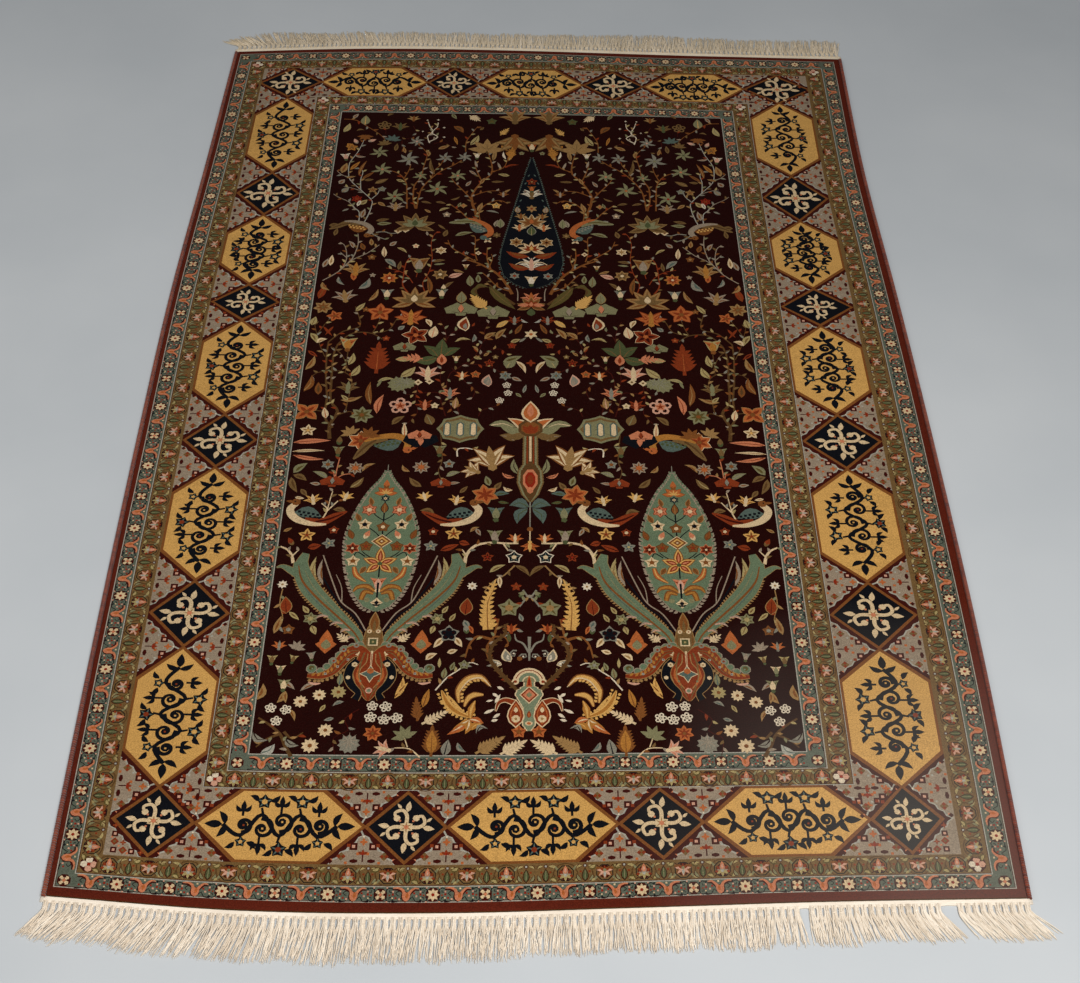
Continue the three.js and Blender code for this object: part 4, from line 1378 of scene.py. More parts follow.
# Flowers and figures of the left half by kind: place on the graph, size, turn and yarns
FLOWERS = [
    (daisy, [
        (256, 1195, 6.5, 0, "white", "tan"), (480, 1197, 6.5, 0, "white", "tan"),
        (294, 1362, 8.5, 0, "cream", "brown", 10), (314, 1353, 8, 0, "cream", "brown", 10),
        (335, 1349, 9, 0, "straw", "brown", 10), (325, 1400, 9, 0, "cream", "brown", 10),
        (310, 1420, 10, 0, "cream", "brown", 10), (484, 548, 7.5, 45, "cream", "brown", 4),
        (454, 578, 4, 0, "grey", "tan", 5),
    ]),
    (pod, [
        (265, 1238, 24, 8, 13, "rust", "maroon", "tan"), (473, 1240, 24, -5, 14, "rust", "maroon", "tan"),
    ]),
    (blossom, [
        (294, 1246, 9.5, 0, "sage", "straw", 6), (441, 1246, 9, 20, "sage", "straw", 6),
        (270, 1262, 8, 0, "brown", "grey", 5),
    ]),
    (shield, [(315, 1296, 34, 0, "orange", "sage"), (424, 1296, 34, 0, "orange", "sage")]),
    (fern, [
        (340, 1279, 17, 50, "cream", 3), (397, 1279, 17, -50, "cream", 3),
        (425, 1388, 30, 5, "brown", 5, 0.34), (430, 1392, 33, -58, "cream", 5, 0.3),
        (442, 1434, 38, 0, "brown", 6, 0.4), (490, 1430, 36, -55, "tan", 6, 0.36),
        (517, 1431, 32, -58, "cream", 5, 0.4), (341, 832, 58, 0, "rust", 5, 0.42),
        (402, 802, 26, 85, "salmon", 3, 0.5),
    ]),
    (lily, [(262, 1290, 13, 0, "orange", "grey")]),
    (maple, [(282, 1288, 11, -20, "rose"), (412, 1408, 15, 20, "sage")]),
    (tulip, [
        (301, 1305, 13, 10, "grey", "rose"), (256, 1311, 14, 0, "straw", "olive"),
        (279, 1309, 12, -10, "straw", "olive"), (267, 1325, 14, 0, "cream", "sage"),
        (273, 1347, 17, 0, "sage", "cream"), (303, 984, 18, 0, "sage", "olive"),
        (432, 983, 20, 0, "sage", "olive"), (506, 1092, 24, 0, "slate", "sage"),
        (505, 1128, 22, 0, "sage", "rose"), (299, 786, 25, 0, "orange", "amber", "brown", "straw"),
        (447, 808, 14, 0, "tan", "cream"), (387, 618, 30, 0, "brown", "rose", "leaf", "tan"),
        (454, 614, 12, 0, "cream", "tan"),
    ]),
    (outlined, [
        (262, 1371, 6.5, 0), (279, 1373, 6.5, 20), (270, 1388, 6.5, 0), (374, 1368, 6.5, 0),
        (389, 1369, 7, 10), (373, 1383, 7, 0), (388, 1386, 7, 0), (402, 1384, 7, 15),
    ]),
    (shell, [(352, 1418, 12.5, 0, "grey", "rose")]),
    (star, [(377, 1404, 11, 0, "orange", "brown", 7)]),
    (lily, [
        (396, 1426, 18, 75, "pink", "cream"), (527, 1266, 14, 0, "orange", "rust"),
        (280, 1066, 17, 10, "gold", "cream"), (318, 1060, 15, -15, "gold", "cream"),
        (418, 1060, 15, 15, "gold", "cream"), (456, 1066, 16, -10, "gold", "cream"),
        (500, 1003, 40, 8, "cream", "tan", "brown"), (482, 1012, 22, 60, "cream", "tan", "brown"),
        (530, 1128, 15, 0, "orange", "cream"),
    ]),
    (pod, [
        (442, 1430, 30, 0, 12, "amber", "brown", "brown"), (341, 824, 44, 0, 16, "rust", "orange", "rust"),
    ]),
    (blossom, [
        (537, 1402, 9, 0, "orange", "brown", 5), (455, 1268, 13, 0, "grey", "navy", 5),
        (474, 1312, 7, 0, "sage", "grey", 5),
    ]),
    (outlined, [
        (455, 1268, 9, 0, "navy"), (377, 893, 15, 0, "pink"), (516, 853, 6, 0), (518, 868, 6, 0),
        (507, 882, 6, 0), (315, 262, 11, 0, "olive"),
    ]),
    (bud, [
        (476, 1268, 14, 10, "grey"), (536, 1214, 12, -30, "sage"), (303, 966, 16, 0, "olive"),
        (262, 1134, 14, 30, "rust", "olive"),
    ]),
    (plume, [(500, 1262, 76, -6, "gold", "brown", 0.3, 6)]),
    (blossom, [
        (524, 1230, 14, 0, "sage", "tan", 5), (292, 1000, 9, 0, "grey", "brown", 6),
        (327, 1006, 11.5, 0, "rose", "orange", 8), (410, 1004, 11.5, 0, "rose", "orange", 8),
        (445, 998, 8, 0, "grey", "brown", 5),
    ]),
    (star, [
        (532, 1198, 7, 0, "rust", "brown", 5), (330, 958, 17, 0, "orange", "brown", 6, "cream"),
        (277, 1118, 11, 0, "gold", "rust", 5), (305, 1131, 9, 20, "grey", "straw", 5),
        (428, 1135, 9, 0, "grey", "straw", 5), (455, 1115, 11, 0, "gold", "rust", 5),
        (492, 1050, 17, 10, "orange", "rust", 6, "tan"), (497, 1152, 8, 0, "rust", "red", 5),
        (338, 708, 19, 0, "orange", "brown", 5, "rust"), (276, 716, 12, 20, "orange", "brown", 5),
    ]),
    (paisley, [
        (527, 1308, 20, 20, "grey", "white"), (517, 1312, 16, 60, "grey", "white"),
        (458, 746, 30, 0, "rust", "grey", "cream"),
    ]),
    (cloud, [(300, 1030, 13, 0, "rust", "grey"), (436, 1032, 11, 0, "rust", "grey")]),
    (bird, [
        (275, 1085, 34, 0, "brown", "cream", "slate", "navy", "rust"),
        (365, 962, 36, -152, "orange", "amber", "slate", "leaf", "olive"),
        (293, 520, 30, 180, "brown", "rose", "brown", "gold", "olive"),
    ]),
    (blossom, [
        (309, 1110, 7, 0, "rust", "cream", 5), (430, 1112, 7, 0, "rust", "cream", 5),
        (529, 1152, 11, 0, "white", "navy", 5), (529, 1152, 9, 0, "navy", "cream", 5),
        (350, 762, 6, 0, "rust", "orange", 5),
    ]),
    (cloud, [(407, 955, 19, 180, "navy", "salmon"), (405, 948, 13, 0, "salmon", "rust")]),
    (lily, [
        (381, 730, 30, 0, "orange", "amber", "rust"), (381, 712, 24, 180, "orange", "amber"),
        (410, 840, 26, 0, "pink", "cream"), (306, 868, 22, 0, "olive", "sage"),
        (409, 898, 19, 0, "rust", "salmon"), (456, 840, 15, 0, "orange", "cream"),
        (441, 876, 20, 0, "salmon", "grey"),
    ]),
    (star, [
        (390, 755, 19, 15, "rust", "orange", 5, "cream"), (256, 906, 19, 45, "orange", "brown", 4, "tan"),
        (328, 911, 16, 0, "sage", "brown", 7), (261, 940, 11, 0, "cream", "gold", 5),
        (514, 835, 9, 0, "grey", "olive", 6), (492, 810, 8, 0, "rust", "red", 5),
        (318, 702, 6, 0, "brown", "tan", 5),
    ]),
    (cloud, [
        (376, 780, 13, 0, "sage", "rust"), (450, 702, 19, 0, "sage", "salmon"),
        (495, 708, 19, 0, "sage", "rose"),
    ]),
    (blossom, [
        (398, 848, 6, 0, "cream", "olive", 4), (413, 846, 6, 0, "cream", "olive", 4),
        (377, 893, 8, 0, "salmon", "rust", 5), (422, 892, 6, 0, "cream", "straw", 5),
        (474, 832, 7.5, 0, "orange", "olive", 5), (522, 775, 7, 0, "rust", "red", 5),
        (500, 798, 5, 0, "olive", "straw", 5), (352, 528, 6, 0, "cream", "brown", 4),
        (363, 526, 6, 0, "cream", "brown", 4), (422, 488, 7, 0, "rose", "cream", 5),
        (417, 572, 9, 0, "cream", "tan", 6), (471, 578, 5, 0, "cream", "brown", 4),
        (380, 562, 5.5, 0, "cream", "salmon", 5), (346, 634, 13, 0, "amber", "tan", 8),
        (418, 626, 12, 0, "tan", "rust", 7), (418, 626, 8, 0, "olive", "cream", 5),
        (318, 588, 7, 0, "brown", "tan", 5), (446, 466, 6, 0, "tan", "orange", 4),
        (286, 452, 9, 0, "red", "rust", 6),
    ]),
    (shell, [(372, 852, 15, -50, "sage", "grey"), (384, 850, 11, 40, "sage", "grey")]),
    (maple, [(316, 944, 14, 30, "tan"), (340, 948, 16, -10, "brown")]),
    (pod, [(450, 688, 24, 0, 13, "sage", "olive", "tan"), (502, 518, 20, 0, 10, "sage", "leaf", "rose")]),
    (paisley, [(492, 856, 24, 0, "grey", "rose", "pink")]),
    (lily, [
        (525, 730, 17, 0, "rust", "grey"), (297, 626, 28, 0, "tan", "amber"),
        (288, 684, 26, 10, "rose", "tan"), (345, 478, 20, 0, "rose", "tan"),
        (360, 248, 15, 0, "tan", "brown"), (340, 272, 20, 0, "olive", "leaf"),
    ]),
    (palmette, [
        (376, 516, 30, 0, "olive", "sage", "leaf", "tan"),
        (384, 686, 32, 0, "tan", "olive", "cream", "brown"),
    ]),
    (bird, [(470, 518, 32, 160, "slate", "orange", "slate", "grey", "sage")]),
    (star, [
        (346, 634, 11, 0, "orange", "cream", 8), (258, 698, 14, 0, "tan", "olive", 7),
        (322, 628, 5, 0, "rose", "tan", 5),
    ]),
    (fern, [(486, 700, 36, 38, "gold", 6, 0.4), (448, 232, 22, -130, "cream", 4, 0.5)]),
    (tulip, [
        (345, 678, 22, 0, "grey", "cream"), (422, 676, 20, 0, "grey", "cream"),
        (262, 354, 18, 10, "white", "pink"),
    ]),
    (bud, [
        (424, 662, 14, 0, "cream"), (276, 312, 14, 25, "pink", "rose"), (292, 306, 14, -65, "pink", "rose"),
    ]),
    (daisy, [
        (497, 536, 7, 0, "olive", "tan", 6), (382, 246, 2, 0, "white", "white", 4),
        (399, 245, 2.5, 0, "white", "white", 4), (409, 266, 2.5, 0, "white", "white", 4),
        (376, 277, 2, 0, "white", "white", 4), (410, 292, 2.5, 0, "white", "white", 4),
    ]),
    (star, [(268, 322, 10, 0, "amber", "olive", 5)]),
    (maple, [(287, 292, 13, 180, "brown"), (330, 300, 14, -10, "slate")]),
    (starflower, [
        (312, 334, 17, 0, "sage", "leaf"), (358, 351, 20, 0, "grey", "sage"),
        (414, 347, 15, 0, "grey", "olive"), (444, 344, 14, 0, "grey", "rose"),
        (319, 378, 18, 0, "sage", "salmon"), (378, 394, 13, 0, "sage", "salmon"),
        (435, 392, 16, 0, "sage", "salmon"), (405, 426, 20, 0, "sage", "orange"),
        (342, 446, 19, 0, "sage", "red"), (368, 304, 15, 0, "grey", "pink"),
    ]),
    (blossom, [
        (322, 428, 7, 0, "grey", "sage", 5), (484, 248, 9, 0, "leaf", "moss", 5),
        (495, 465, 8, 0, "gold", "straw", 5),
    ]),
    (star, [(308, 430, 8, 0, "tan", "brown", 5)]),
    (maple, [(318, 312, 12, 10, "olive"), (478, 325, 30, 0, "tan", "olive")]),
    (tulip, [(463, 347, 16, 0, "cream", "white")]),
    (lily, [
        (521, 288, 42, 180, "tan", "brown", "olive"), (521, 250, 36, 0, "tan", "olive"),
        (505, 442, 13, 0, "brown", "rose"),
    ]),
    (fern, [(498, 285, 22, -35, "gold", 4, 0.4), (514, 344, 26, -8, "amber", 4, 0.45)]),
    (blossom, [(516, 310, 5, 0, "brown", "olive", 5), (532, 332, 5, 0, "sage", "olive", 5)]),
]


# How far apart the small teeth stand down the edge of a tall figure
TOOTH_PITCH = 4.5


def upward(profile, more=0.0, least=0.0):
    """A figure's right side from its rows and half widths, made wider or narrower."""
    return [complex(max(half + more, least), MIDDLE_ROW - row) for row, half in profile]


def toothed_outline(side, tooth):
    """A tall figure's outline from its right side, with small teeth down its edge."""
    right = []
    for a, b in zip(side, side[1:]):
        pieces = max(round(abs(b - a) / TOOTH_PITCH), 1)
        for i in range(pieces):
            p = a + (b - a) * i / pieces
            right += [p, p + complex(tooth, (b - a).imag / pieces * 0.4)]
    return [*right, side[-1], *[-p.conjugate() for p in reversed(right)]]


def draw_along(pen, figures):
    """Figures that stand on the axis: how each is drawn, its row and what it takes."""
    for draw, row, *more in figures:
        draw(pen.at(on_axis(row)), *more)


def draw_placed(pen, place, figures):
    """Figures of one half: how each is drawn, its column and row and what it takes."""
    for draw, column, row, *more in figures:
        draw(pen.at(place(column, row)), *more)


def ribbons(pen, path, *layers):
    """Ribbons one on another along one path: the yarn and the widths of each."""
    for yarn, widths, *more in layers:
        pen.ribbon(yarn, path, widths, *more)


def gem(pen, tall, *layers):
    """Lozenges one in another: the yarn and half width of each."""
    for yarn, size in layers:
        pen.fill(yarn, [size, size * tall * 1j, -size, -size * tall * 1j])


# The tree medallion: rows and half widths, and the smaller figures on it
MEDALLION = [
    (1235, 3), (1228, 16), (1211, 27), (1191, 34.5), (1165, 40), (1144, 42.5), (1122, 42.5),
    (1098, 38), (1072, 30), (1048, 19.5), (1032, 9.5), (1021, 3.6), (1012, 0.4),
]
ON_MEDALLION = [
    (pod, 353, 1069, 13, 14, 5, "brown", "bark", "tan"),
    (blossom, 350, 1077, 10.5, 0, "salmon", "cream", 6, "rust"),
    (pod, 340, 1096, 14, 22, 6, "brown", "bark", "tan"),
    (blossom, 346, 1101, 9.5, 0, "cream", "navy", 5),
    (pod, 333, 1124, 16, 20, 6.5, "brown", "rust", "bark"),
    (bud, 347, 1124, 15, -24, "salmon", "cream"),
    (blossom, 350, 1136, 9, 0, "brown", "rust", 5, "bark"),
    (star, 334, 1139, 8.5, 0, "rust", "cream", 6, "salmon"),
    (blossom, 336, 1159, 9, 0, "cream", "brown", 5),
    (pod, 352, 1168, 12, 150, 6, "brown", "bark", "tan"),
]
MEDALLION_STEMS = [
    (368, 1094, 360, 1088, 354, 1080),
    (366, 1122, 360, 1114, 350, 1105),
    (362, 1157, 352, 1150, 346, 1144),
    (350, 1152, 340, 1145, 336, 1154),
]

# The great leaf that carries the tree: its path from the fork to the calyx, and its widths
GREAT_LEAF = {
    "path": (274, 1160, 277, 1176, 289, 1201, 310, 1227, 334, 1252, 350, 1270, 356, 1288),
    "widths": [16, 20, 23, 21, 15, 11, 7],
    "left prong": (274, 1182, 263, 1173, 253, 1167, 246, 1169),
    "right prong": (273, 1180, 275, 1163, 279, 1147),
}


def draw_medallion(pen):
    """The teal tree with its flowers, and the great leaves and lotus that carry it."""
    halves = both(pen)
    for half in halves:
        draw_great_leaf(half)
        draw_lotus_half(half)
    draw_lotus_heart(pen)
    side = upward(MEDALLION)
    for half in halves:
        half.teeth("rose", side, 4.4, 4.0, 4.6, -1, 0.9)
    pen.fill("rose", toothed_outline(upward(MEDALLION, 0.7), 0.8))
    for half in halves:
        half.teeth("teal", [p * 0.985 for p in side], 2.8, 3.4, 4.6, -1, 0.9)
    pen.fill("teal", toothed_outline(upward(MEDALLION, -0.6, 0.3), 0.5))
    pen.stem("grey", [on_axis(1014), on_axis(1000)], 1.4, 0.8)
    for path in MEDALLION_STEMS:
        for half in halves:
            half.stem("navy", spray_trail(*path), 1.6, 1.2)
    for draw, column, row, size, turn, *yarns in ON_MEDALLION:
        for half in halves:
            draw(half.at(at(column, row), turn=turn), size, *yarns)
    for half in halves:
        curved = spray_trail(338, 1168, 342, 1181, 354, 1191)
        ribbons(half, curved, ("brown", [5, 8, 2]), ("orange", [3.4, 6, 1]), ("gold", [1, 2, 0.6]))
        for path in ((366, 1206, 356, 1198, 345, 1199, 340, 1206), (364, 1209, 354, 1206, 350, 1218)):
            ribbons(half, spray_trail(*path), ("brown", [3, 8, 6, 2]), ("amber", [1, 4, 3, 1]))
        half.at(at(357, 1218)).disc("sage", 3.6, 8)
    draw_along(pen, [
        (fan, 1050, "orange", 5, 14, 6.4, 170, "brown"),
        (bud, 1042, 16, "orange", "brown"),
        (fan, 1050, "gold", 5, 9, 2.2, 150),
        (blossom, 1058, 6.4, "navy", "cream", 6),
        (Pen.disc, 1058, "tan", 1.5, 5),
        (Pen.stem, 1064, "navy", [0, -62j], 1.8),
        (pod, 1082, 17, 8, "brown", "tan", "navy"),
        (blossom, 1105, 9, "brown", "cream", 5, "bark"),
        (gem, 1128, 0.85, ("cream", 13), ("brown", 11.4), ("gold", 8), ("brown", 5), ("cream", 1.8)),
    ])
    lotus = pen.at(on_axis(1163))
    for turn, reach in ((0, 25), (68, 21), (-68, 21), (132, 20), (-132, 20)):
        petal = lotus.at(0, turn=turn)
        petal.leaf("brown", (reach + 1.4) * 1j, 12.4)
        petal.leaf("gold", reach * 1j, 10)
        petal.at(2j).leaf("rust", (reach - 5.4) * 1j, 6.4)
        petal.at(4j).leaf("salmon", (reach - 11) * 1j, 2.6)
    draw_along(pen, [
        (Pen.disc, 1163, "leaf", 3.2, 6),
        (Pen.stem, 1167, "navy", [0, -17j], 2.0, 1.6),
        (tulip, 1204, 22, "salmon", "pink", "cream"),
        (Pen.stem, 1192, "navy", [0, -25j], 2.8, 2.0),
        (blossom, 1222, 7.5, "cream", "navy", 4),
        (fan, 1227, "navy", 3, 6, 2.6, 120),
    ])


def draw_great_leaf(half):
    """One long teal leaf with a forked tip, a brown midrib and pink hooks under it."""
    path = spray_trail(*GREAT_LEAF["path"])
    widths = GREAT_LEAF["widths"]
    for side in (-1, 1):
        edge = [p + (q - p) / abs(q - p) * 1j * side * w * 0.5 for p, q, w in zip(path, path[1:], widths)]
        half.teeth("tan", edge[1:], 3.4, 2.6, 4.4, side, -0.7)
    for yarn, more in (("tan", 1.2), ("teal", 0.0)):
        half.ribbon(yarn, path, widths, more)
        half.ribbon(yarn, spray_trail(*GREAT_LEAF["left prong"]), [9, 9, 5.4, 0.8], more)
        half.ribbon(yarn, spray_trail(*GREAT_LEAF["right prong"]), [16, 15, 8], more)
    for shift, yarn in ((-4.6, "slate"), (4.6, "sage")):
        half.ribbon(yarn, [p + complex(shift, shift) * 0.7 for p in path[1:5]], [0.6, 1.3, 1.3, 0.5])
    midrib = spray_trail(272, 1166, 279, 1190, 300, 1217, 326, 1244, 346, 1266, 354, 1280)
    half.ribbon("brown", midrib, [1.2, 2.6, 2.8, 2.6, 2.2, 1.4])
    half.stem("rose", spray_trail(300, 1150, 318, 1200, 328, 1222, 345, 1238, 359, 1263), 1.6)
    half.stem("navy", spray_trail(303, 1185, 326, 1226, 343, 1242, 356, 1265), 2.2)
    half.stem("rose", spray_trail(328, 1222, 326, 1200, 318, 1180), 1.4, 0.8)
    for column, row, reach in ((300, 1246, 14), (317, 1256, 15), (330, 1266, 11), (338, 1277, 9)):
        hook = half.at(at(column, row))
        hook.ribbon("rose", [0, reach * 0.4 + 5j, reach + 3j], [1, 3.4, 2.4])
        hook.ribbon("pink", [1 + 1j, reach * 0.5 + 4j, reach + 3j], [0.4, 1.4, 0.8])


def draw_lotus_half(half):
    """Half of the great lotus: its scalloped teal edge, rust wing and toothed foot."""
    edge = [(312, 1320, 3.8), (319, 1314, 4.2), (326, 1307, 5.4), (332, 1298, 4.6), (337, 1290, 5.2)]
    edge += [(346, 1286, 4.6), (354, 1284, 4.8), (362, 1286, 4.0), (302, 1317, 5.6)]
    for grow, yarn in ((1.0, "rose"), (0.0, "teal")):
        for column, row, radius in edge:
            half.at(at(column, row)).disc(yarn, radius + grow, 8)
    half.at(at(302, 1316)).disc("moss", 3.4, 6)
    half.at(at(303, 1317)).disc("sea", 1.6, 5)
    wing = spray_trail(298, 1327, 313, 1327, 326, 1320, 334, 1307, 343, 1295, 354, 1292, 365, 1304)
    widths = [4, 8, 10, 13, 15, 15, 14]
    half.teeth("tan", spray_trail(298, 1331, 313, 1332, 326, 1327, 338, 1316), 4.2, 4.6, 4.8, -1, 0.3)
    ribbons(half, wing, ("tan", widths, 2.0), ("rust", widths))
    ribbons(half, wing[1:6], ("olive", [1, 4.4, 5.6, 5.6, 3]), ("rust", [0.6, 2.4, 3.0, 3.0, 1.4]))
    half.teeth("amber", wing[:5], 5.4, 3.2, 6.2, 1, 0.8)
    half.at(at(300, 1336)).ribbon("pink", [0, 8 - 2j, 14 - 1j], [1.6, 3.4, 0.8])
    for column, row, yarn in ((326, 1306, "rust"), (336, 1290, "rust"), (350, 1284, "brown")):
        half.at(at(column, row)).disc("grey", 3.6, 7)
        half.at(at(column, row)).disc(yarn, 1.7, 5)
    for column, row in ((342, 1304), (331, 1314), (318, 1324)):
        half.at(at(column, row)).disc("pale", 2.0, 4)
        half.at(at(column, row)).disc("navy", 0.9, 4)
    half.at(at(354, 1297)).fill("cream", scallop(4.6, 4, 0.5))


def draw_lotus_heart(pen):
    """The middle of the lotus: a rust shield between dark bars, under a brown calyx column."""
    shield_path = [on_axis(row) for row in (1294, 1308, 1324, 1340, 1352, 1361)]
    widths = [26, 34, 38, 29, 16, 1]
    ribbons(pen, shield_path, ("tan", widths, 2.0), ("rust", widths))
    ribbons(pen, shield_path, ("olive", [18, 25, 29, 20, 9, 0.4]), ("rust", [14, 21, 25, 16, 6, 0.4]))
    for half in both(pen):
        bar = spray_trail(353, 1305, 346, 1315, 344, 1328, 349, 1340, 357, 1350, 354, 1359)
        widths = [8, 10, 10, 9, 7, 9]
        ribbons(half, bar, ("tan", widths, 1.2), ("navy", widths, -0.4))
        draw_placed(half, at, [
            (Pen.disc, 350, 1311, "cream", 3.6, 6),
            (Pen.disc, 350, 1311, "tan", 1.5, 5),
            (Pen.disc, 344, 1329, "cream", 2.8, 6),
        ])
        half.ribbon("tan", spray_trail(364, 1296, 363, 1308, 357, 1318, 357, 1332, 364, 1344), [1.2] * 5)
        half.ribbon("orange", spray_trail(360, 1340, 354, 1328, 355, 1316), [1, 3, 1])
        half.at(at(358, 1334)).disc("sage", 1.8, 4)
    draw_along(pen, [
        (Pen.ribbon, 1292, "cream", [0, -24j], [2.6, 1.6]),
        (Pen.ribbon, 1296, "rust", [0, -16j], [1.0, 0.6]),
        (Pen.fill, 1324, "cream", scallop(12.5, 4, 0.5)),
        (Pen.fill, 1324, "slate", scallop(10.6, 4, 0.5)),
        (Pen.disc, 1320, "orange", 4.2, 6),
        (Pen.disc, 1347, "pink", 4.2, 7),
        (Pen.disc, 1347, "sea", 2.6, 6),
    ])
    column = [on_axis(row) for row in (1252, 1264, 1278, 1292)]
    ribbons(pen, column, ("tan", [6, 18, 23, 6], 1.6), ("olive", [6, 18, 23, 6]))
    draw_along(pen, [
        (Pen.leaf, 1266, "tan", 31j, 13),
        (Pen.leaf, 1265, "brown", 28j, 10),
        (Pen.leaf, 1265, "olive", 18j, 4),
    ])
    for side in (-1, 1):
        eye = pen.at(on_axis(1264) + side * 5)
        eye.disc("cream", 3.0, 6)
        eye.disc("rust", 1.2, 4)
        pen.ribbon("brown", [on_axis(1268) + side * 9, on_axis(1284) + side * 9], [1, 1])
    for yarn, radius in (("cream", 8), ("leaf", 5.6), ("straw", 1.8)):
        pen.at(on_axis(1279)).disc(yarn, radius, 4)


# The dark tree on the garden's axis: rows and half widths, and the flowers up its middle
CYPRESS = [
    (655, 7), (646, 24), (628, 39), (600, 45), (570, 43), (530, 36), (490, 28.5), (450, 21), (410, 14),
    (375, 7), (345, 0.6),
]
ON_CYPRESS = [
    (star, 405, 9, "rust", "tan", 5),
    (lily, 445, 24, "white", "olive"),
    (tulip, 430, 16, "brown", "orange"),
    (palmette, 508, 22, "tan", "brown", "orange", "cream"),
    (daisy, 472, 9, "tan", "rust", 6),
    (pod, 535, 20, 12, "leaf", "straw", "grey"),
    (palmette, 570, 20, "cream", "rust", "gold", "tan"),
    (lily, 612, 26, "white", "pink"),
    (tulip, 648, 22, "cream", "white"),
]


def draw_cypress(pen):
    """The dark tree, with flowers up its middle and beside it."""
    for half in both(pen):
        half.teeth("slate", upward(CYPRESS, 0.4), 2.6, 1.8, 5.2, -1, 0.8)
    pen.fill("slate", toothed_outline(upward(CYPRESS, 0.6), 0.8))
    pen.fill("navy", toothed_outline(upward(CYPRESS), 0.8))
    draw_along(pen, ON_CYPRESS)
    for half in both(pen):
        half.stem("cream", trail(546, 600, 534, 597, 524, 604), 2.2, 1.2)
        half.stem("white", trail(546, 590, 538, 582, 530, 590), 1.8, 1.0)
        for row, reach in ((585, 34), (612, 30)):
            half.at(on_axis(row) - 3).leaf("rust", complex(-reach, 12), 12, 4)
            half.at(on_axis(row - 2) - 8).leaf("brown", complex(-reach * 0.7, 10), 4, 3)
        draw_placed(half, spot, [
            (star, 526, 552, 10, "tan", "wine", 6, "cream"),
            (lily, 530, 524, 16, "cream", "orange"),
            (lily, 532, 496, 14, "tan", "brown"),
        ])
        pod(half.at(spot(528, 482), turn=8), 14, 7, "rose", "brown", "tan")
        draw_placed(half, spot, [
            (blossom, 524, 628, 8, "grey", "rust", 6),
            (blossom, 538, 430, 4, "grey", "rust", 5),
            (Pen.leaf, 542, 392, "slate", 3 + 6j, 2.4),
            (Pen.leaf, 537, 412, "slate", 3 + 6j, 2.4),
            (Pen.leaf, 530, 455, "slate", 3 + 6j, 2.4),
            (Pen.leaf, 527, 470, "slate", 3 + 6j, 2.4),
        ])
    lily(pen.at(on_axis(684)), 22, "salmon", "orange")
    palmette(pen.at(on_axis(694)), 20, "brown", "rust", "salmon", "tan")
    for half in both(pen):
        half.stem("rose", trail(529, 682, 529, 665, 527, 655), 1.6, 1.0)
        half.at(spot(545, 690)).leaf("salmon", -16 - 2j, 8)
    pen.at(on_axis(714)).leaf("leaf", 16j, 12)


def draw_pendant(pen):
    """The hanging column of the axis between the two medallions."""
    body = [(1062, 1), (1050, 9), (1030, 15), (1010, 14), (998, 8), (940, 7.5)]
    for yarn, more in (("olive", 1.8), ("sage", 0), ("bark", -2.4)):
        pen.fill(yarn, toothed_outline(upward(body, more, 0.4), 0.6))
    draw_along(pen, [
        (Pen.stem, 945, "cream", [0, -47j], 3),
        (Pen.stem, 945, "rust", [-4, -4 - 51j], 1.8),
        (Pen.stem, 945, "rust", [4, 4 - 51j], 1.8),
        (Pen.disc, 1024, "salmon", 10, 10, 1.9),
        (Pen.disc, 1024, "red", 7, 10, 2.0),
        (Pen.disc, 1024, "rust", 4, 8, 2.2),
        (Pen.leaf, 1048, "salmon", 12j, 8),
    ])
    flower = pen.at(on_axis(945))
    for side in (-1, 1):
        flower.leaf("cream", side * 30 + 30j, 17, side * 5)
        flower.leaf("orange", side * 27 + 28j, 12, side * 5)
        flower.at(side * 6 + 6j).leaf("sage", side * 34 + 10j, 13, -side * 4)
        flower.at(side * 6 + 4j).leaf("olive", side * 28 - 8j, 12, -side * 4)
    flower.at(12j).disc("bark", 17, 12, 0.95)
    flower.at(12j).disc("brown", 13, 10, 0.9)
    fan(flower.at(2j), "rust", 3, 17, 10, 70)
    flower.at(22j).leaf("cream", 40j, 25)
    flower.at(25j).leaf("orange", 34j, 19)
    flower.at(32j).leaf("salmon", 24j, 9)
    draw_along(pen, [
        (Pen.stem, 1062, "grey", [0, -48j], 1.8, 1.4),
        (Pen.disc, 1107, "brown", 4, 7),
        (Pen.stem, 1110, "cream", [0, -24j], 1.6, 1.4),
    ])
    lily(pen.at(on_axis(1128), turn=180), 17, "orange", "gold")
    draw_along(pen, [
        (daisy, 752, 10, "cream", "orange", 6),
        (star, 810, 7, "rust", "red", 4),
        (tulip, 325, 22, "orange", "cream"),
    ])
    for half in both(pen):
        band_flower = half.at(spot(457, 935))
        for yarn, size in (("sage", 31), ("olive", 27), ("sage", 22)):
            band_flower.fill(yarn, [complex(p.real, p.imag * 0.82) for p in scallop(size, 8, 0.14, 3)])
        for x in (-17, 0, 17):
            band_flower.at(x - 11j).fill("slate", [-5, -5 + 20j, 24j, 5 + 20j, 5, -3j])
            band_flower.at(x - 10j).fill("cream", [-3.2, -2.8 + 18j, 21j, 2.8 + 18j, 3.2, -2j])


# The vase on the axis: rows and half widths of its body
VASE = [
    (1401, 1.5), (1394, 6), (1384, 6.4), (1371, 6), (1363, 10), (1354, 14.5), (1348, 13),
    (1341, 5), (1334, 5),
]


